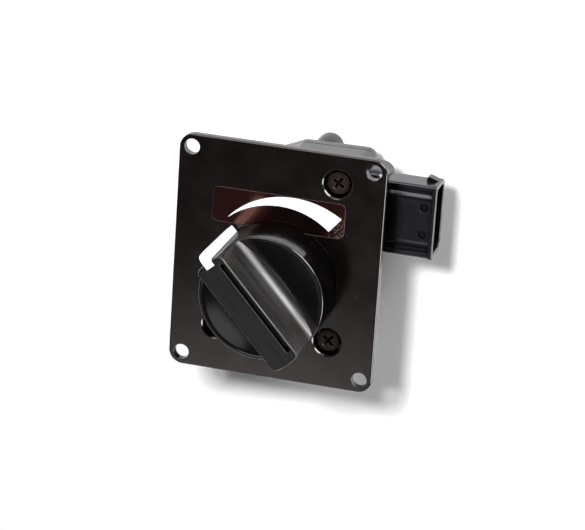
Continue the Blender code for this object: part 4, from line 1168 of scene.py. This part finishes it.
def build_room():
    """A pale room: bright round the horizon, and dim overhead."""
    world = bpy.data.worlds.new("studio")
    bpy.context.scene.world = world
    world.use_nodes = True
    tree = world.node_tree
    back = tree.nodes["Background"]
    place = tree.nodes.new("ShaderNodeTexCoord")
    split = tree.nodes.new("ShaderNodeSeparateXYZ")
    ramp = tree.nodes.new("ShaderNodeValToRGB")
    tree.links.new(place.outputs["Generated"], split.inputs["Vector"])
    tree.links.new(split.outputs["Z"], ramp.inputs["Fac"])
    tree.links.new(ramp.outputs["Color"], back.inputs["Color"])
    # Height from the lowest to the highest direction, and brightness.
    stops = [(0.0, 0.9), (0.10, 0.8), (0.30, 0.36), (0.55, 0.15), (0.85, 0.075), (1.0, 0.075)]
    band = ramp.color_ramp
    while len(band.elements) < len(stops):
        band.elements.new(0.5)
    for element, (height, level) in zip(band.elements, stops):
        element.position = height
        element.color = (level, level, level * 1.01, 1)
    back.inputs["Strength"].default_value = 1.0


# Where the photo's camera stood, and its own axes.
CAMERA_AT = Vector((0.2431, 0.35605, 0.9682))
CAMERA_RIGHT = Vector((0.96118, 0.06285, -0.26866))
CAMERA_UP = Vector((-0.14897, 0.93781, -0.31357))
CAMERA_BACK = Vector((0.23225, 0.34142, 0.91077))
FOCAL_LENGTH_MM = 184.4
SENSOR_WIDTH_MM = 36.0


def build_camera():
    lens = bpy.data.cameras.new("camera")
    camera = new_object("camera", lens)
    lens.lens = FOCAL_LENGTH_MM
    lens.sensor_width = SENSOR_WIDTH_MM
    lens.clip_start = 0.05
    lens.clip_end = 10.0
    turn = Matrix((CAMERA_RIGHT, CAMERA_UP, CAMERA_BACK)).transposed()
    camera.matrix_world = Matrix.Translation(CAMERA_AT) @ turn.to_4x4()
    bpy.context.scene.camera = camera


# Name, direction from the object, distance, width, radiance, and what it lights.
LAMPS = [
    ("key", (-0.09, 0.53, 1.0), 1.3, 0.24, 142.0, "matt"),
    ("side_fill", (0.66, 0.66, 0.32), 1.3, 0.66, 11.0, "matt"),
    ("side_softbox", (0.66, 0.66, 0.32), 1.1, 0.84, 19.0, "gloss"),
    ("top_softbox", (-0.15, 0.74, 0.66), 1.1, 0.74, 5.2, "gloss"),
    ("right_softbox", (0.87, -0.34, 0.36), 1.1, 0.56, 16.0, "gloss"),
    ("overhead_card", (-0.22, -0.55, 0.805), 1.3, 0.55, 1.55, "gloss"),
    ("zenith_card", (-0.03, -0.130, 0.99), 1.3, 0.36, 1.15, "gloss"),
]
build_table()
build_room()
for lamp in LAMPS:
    add_lamp(*lamp)
build_camera()
bpy.context.scene.view_settings.view_transform = "Standard"
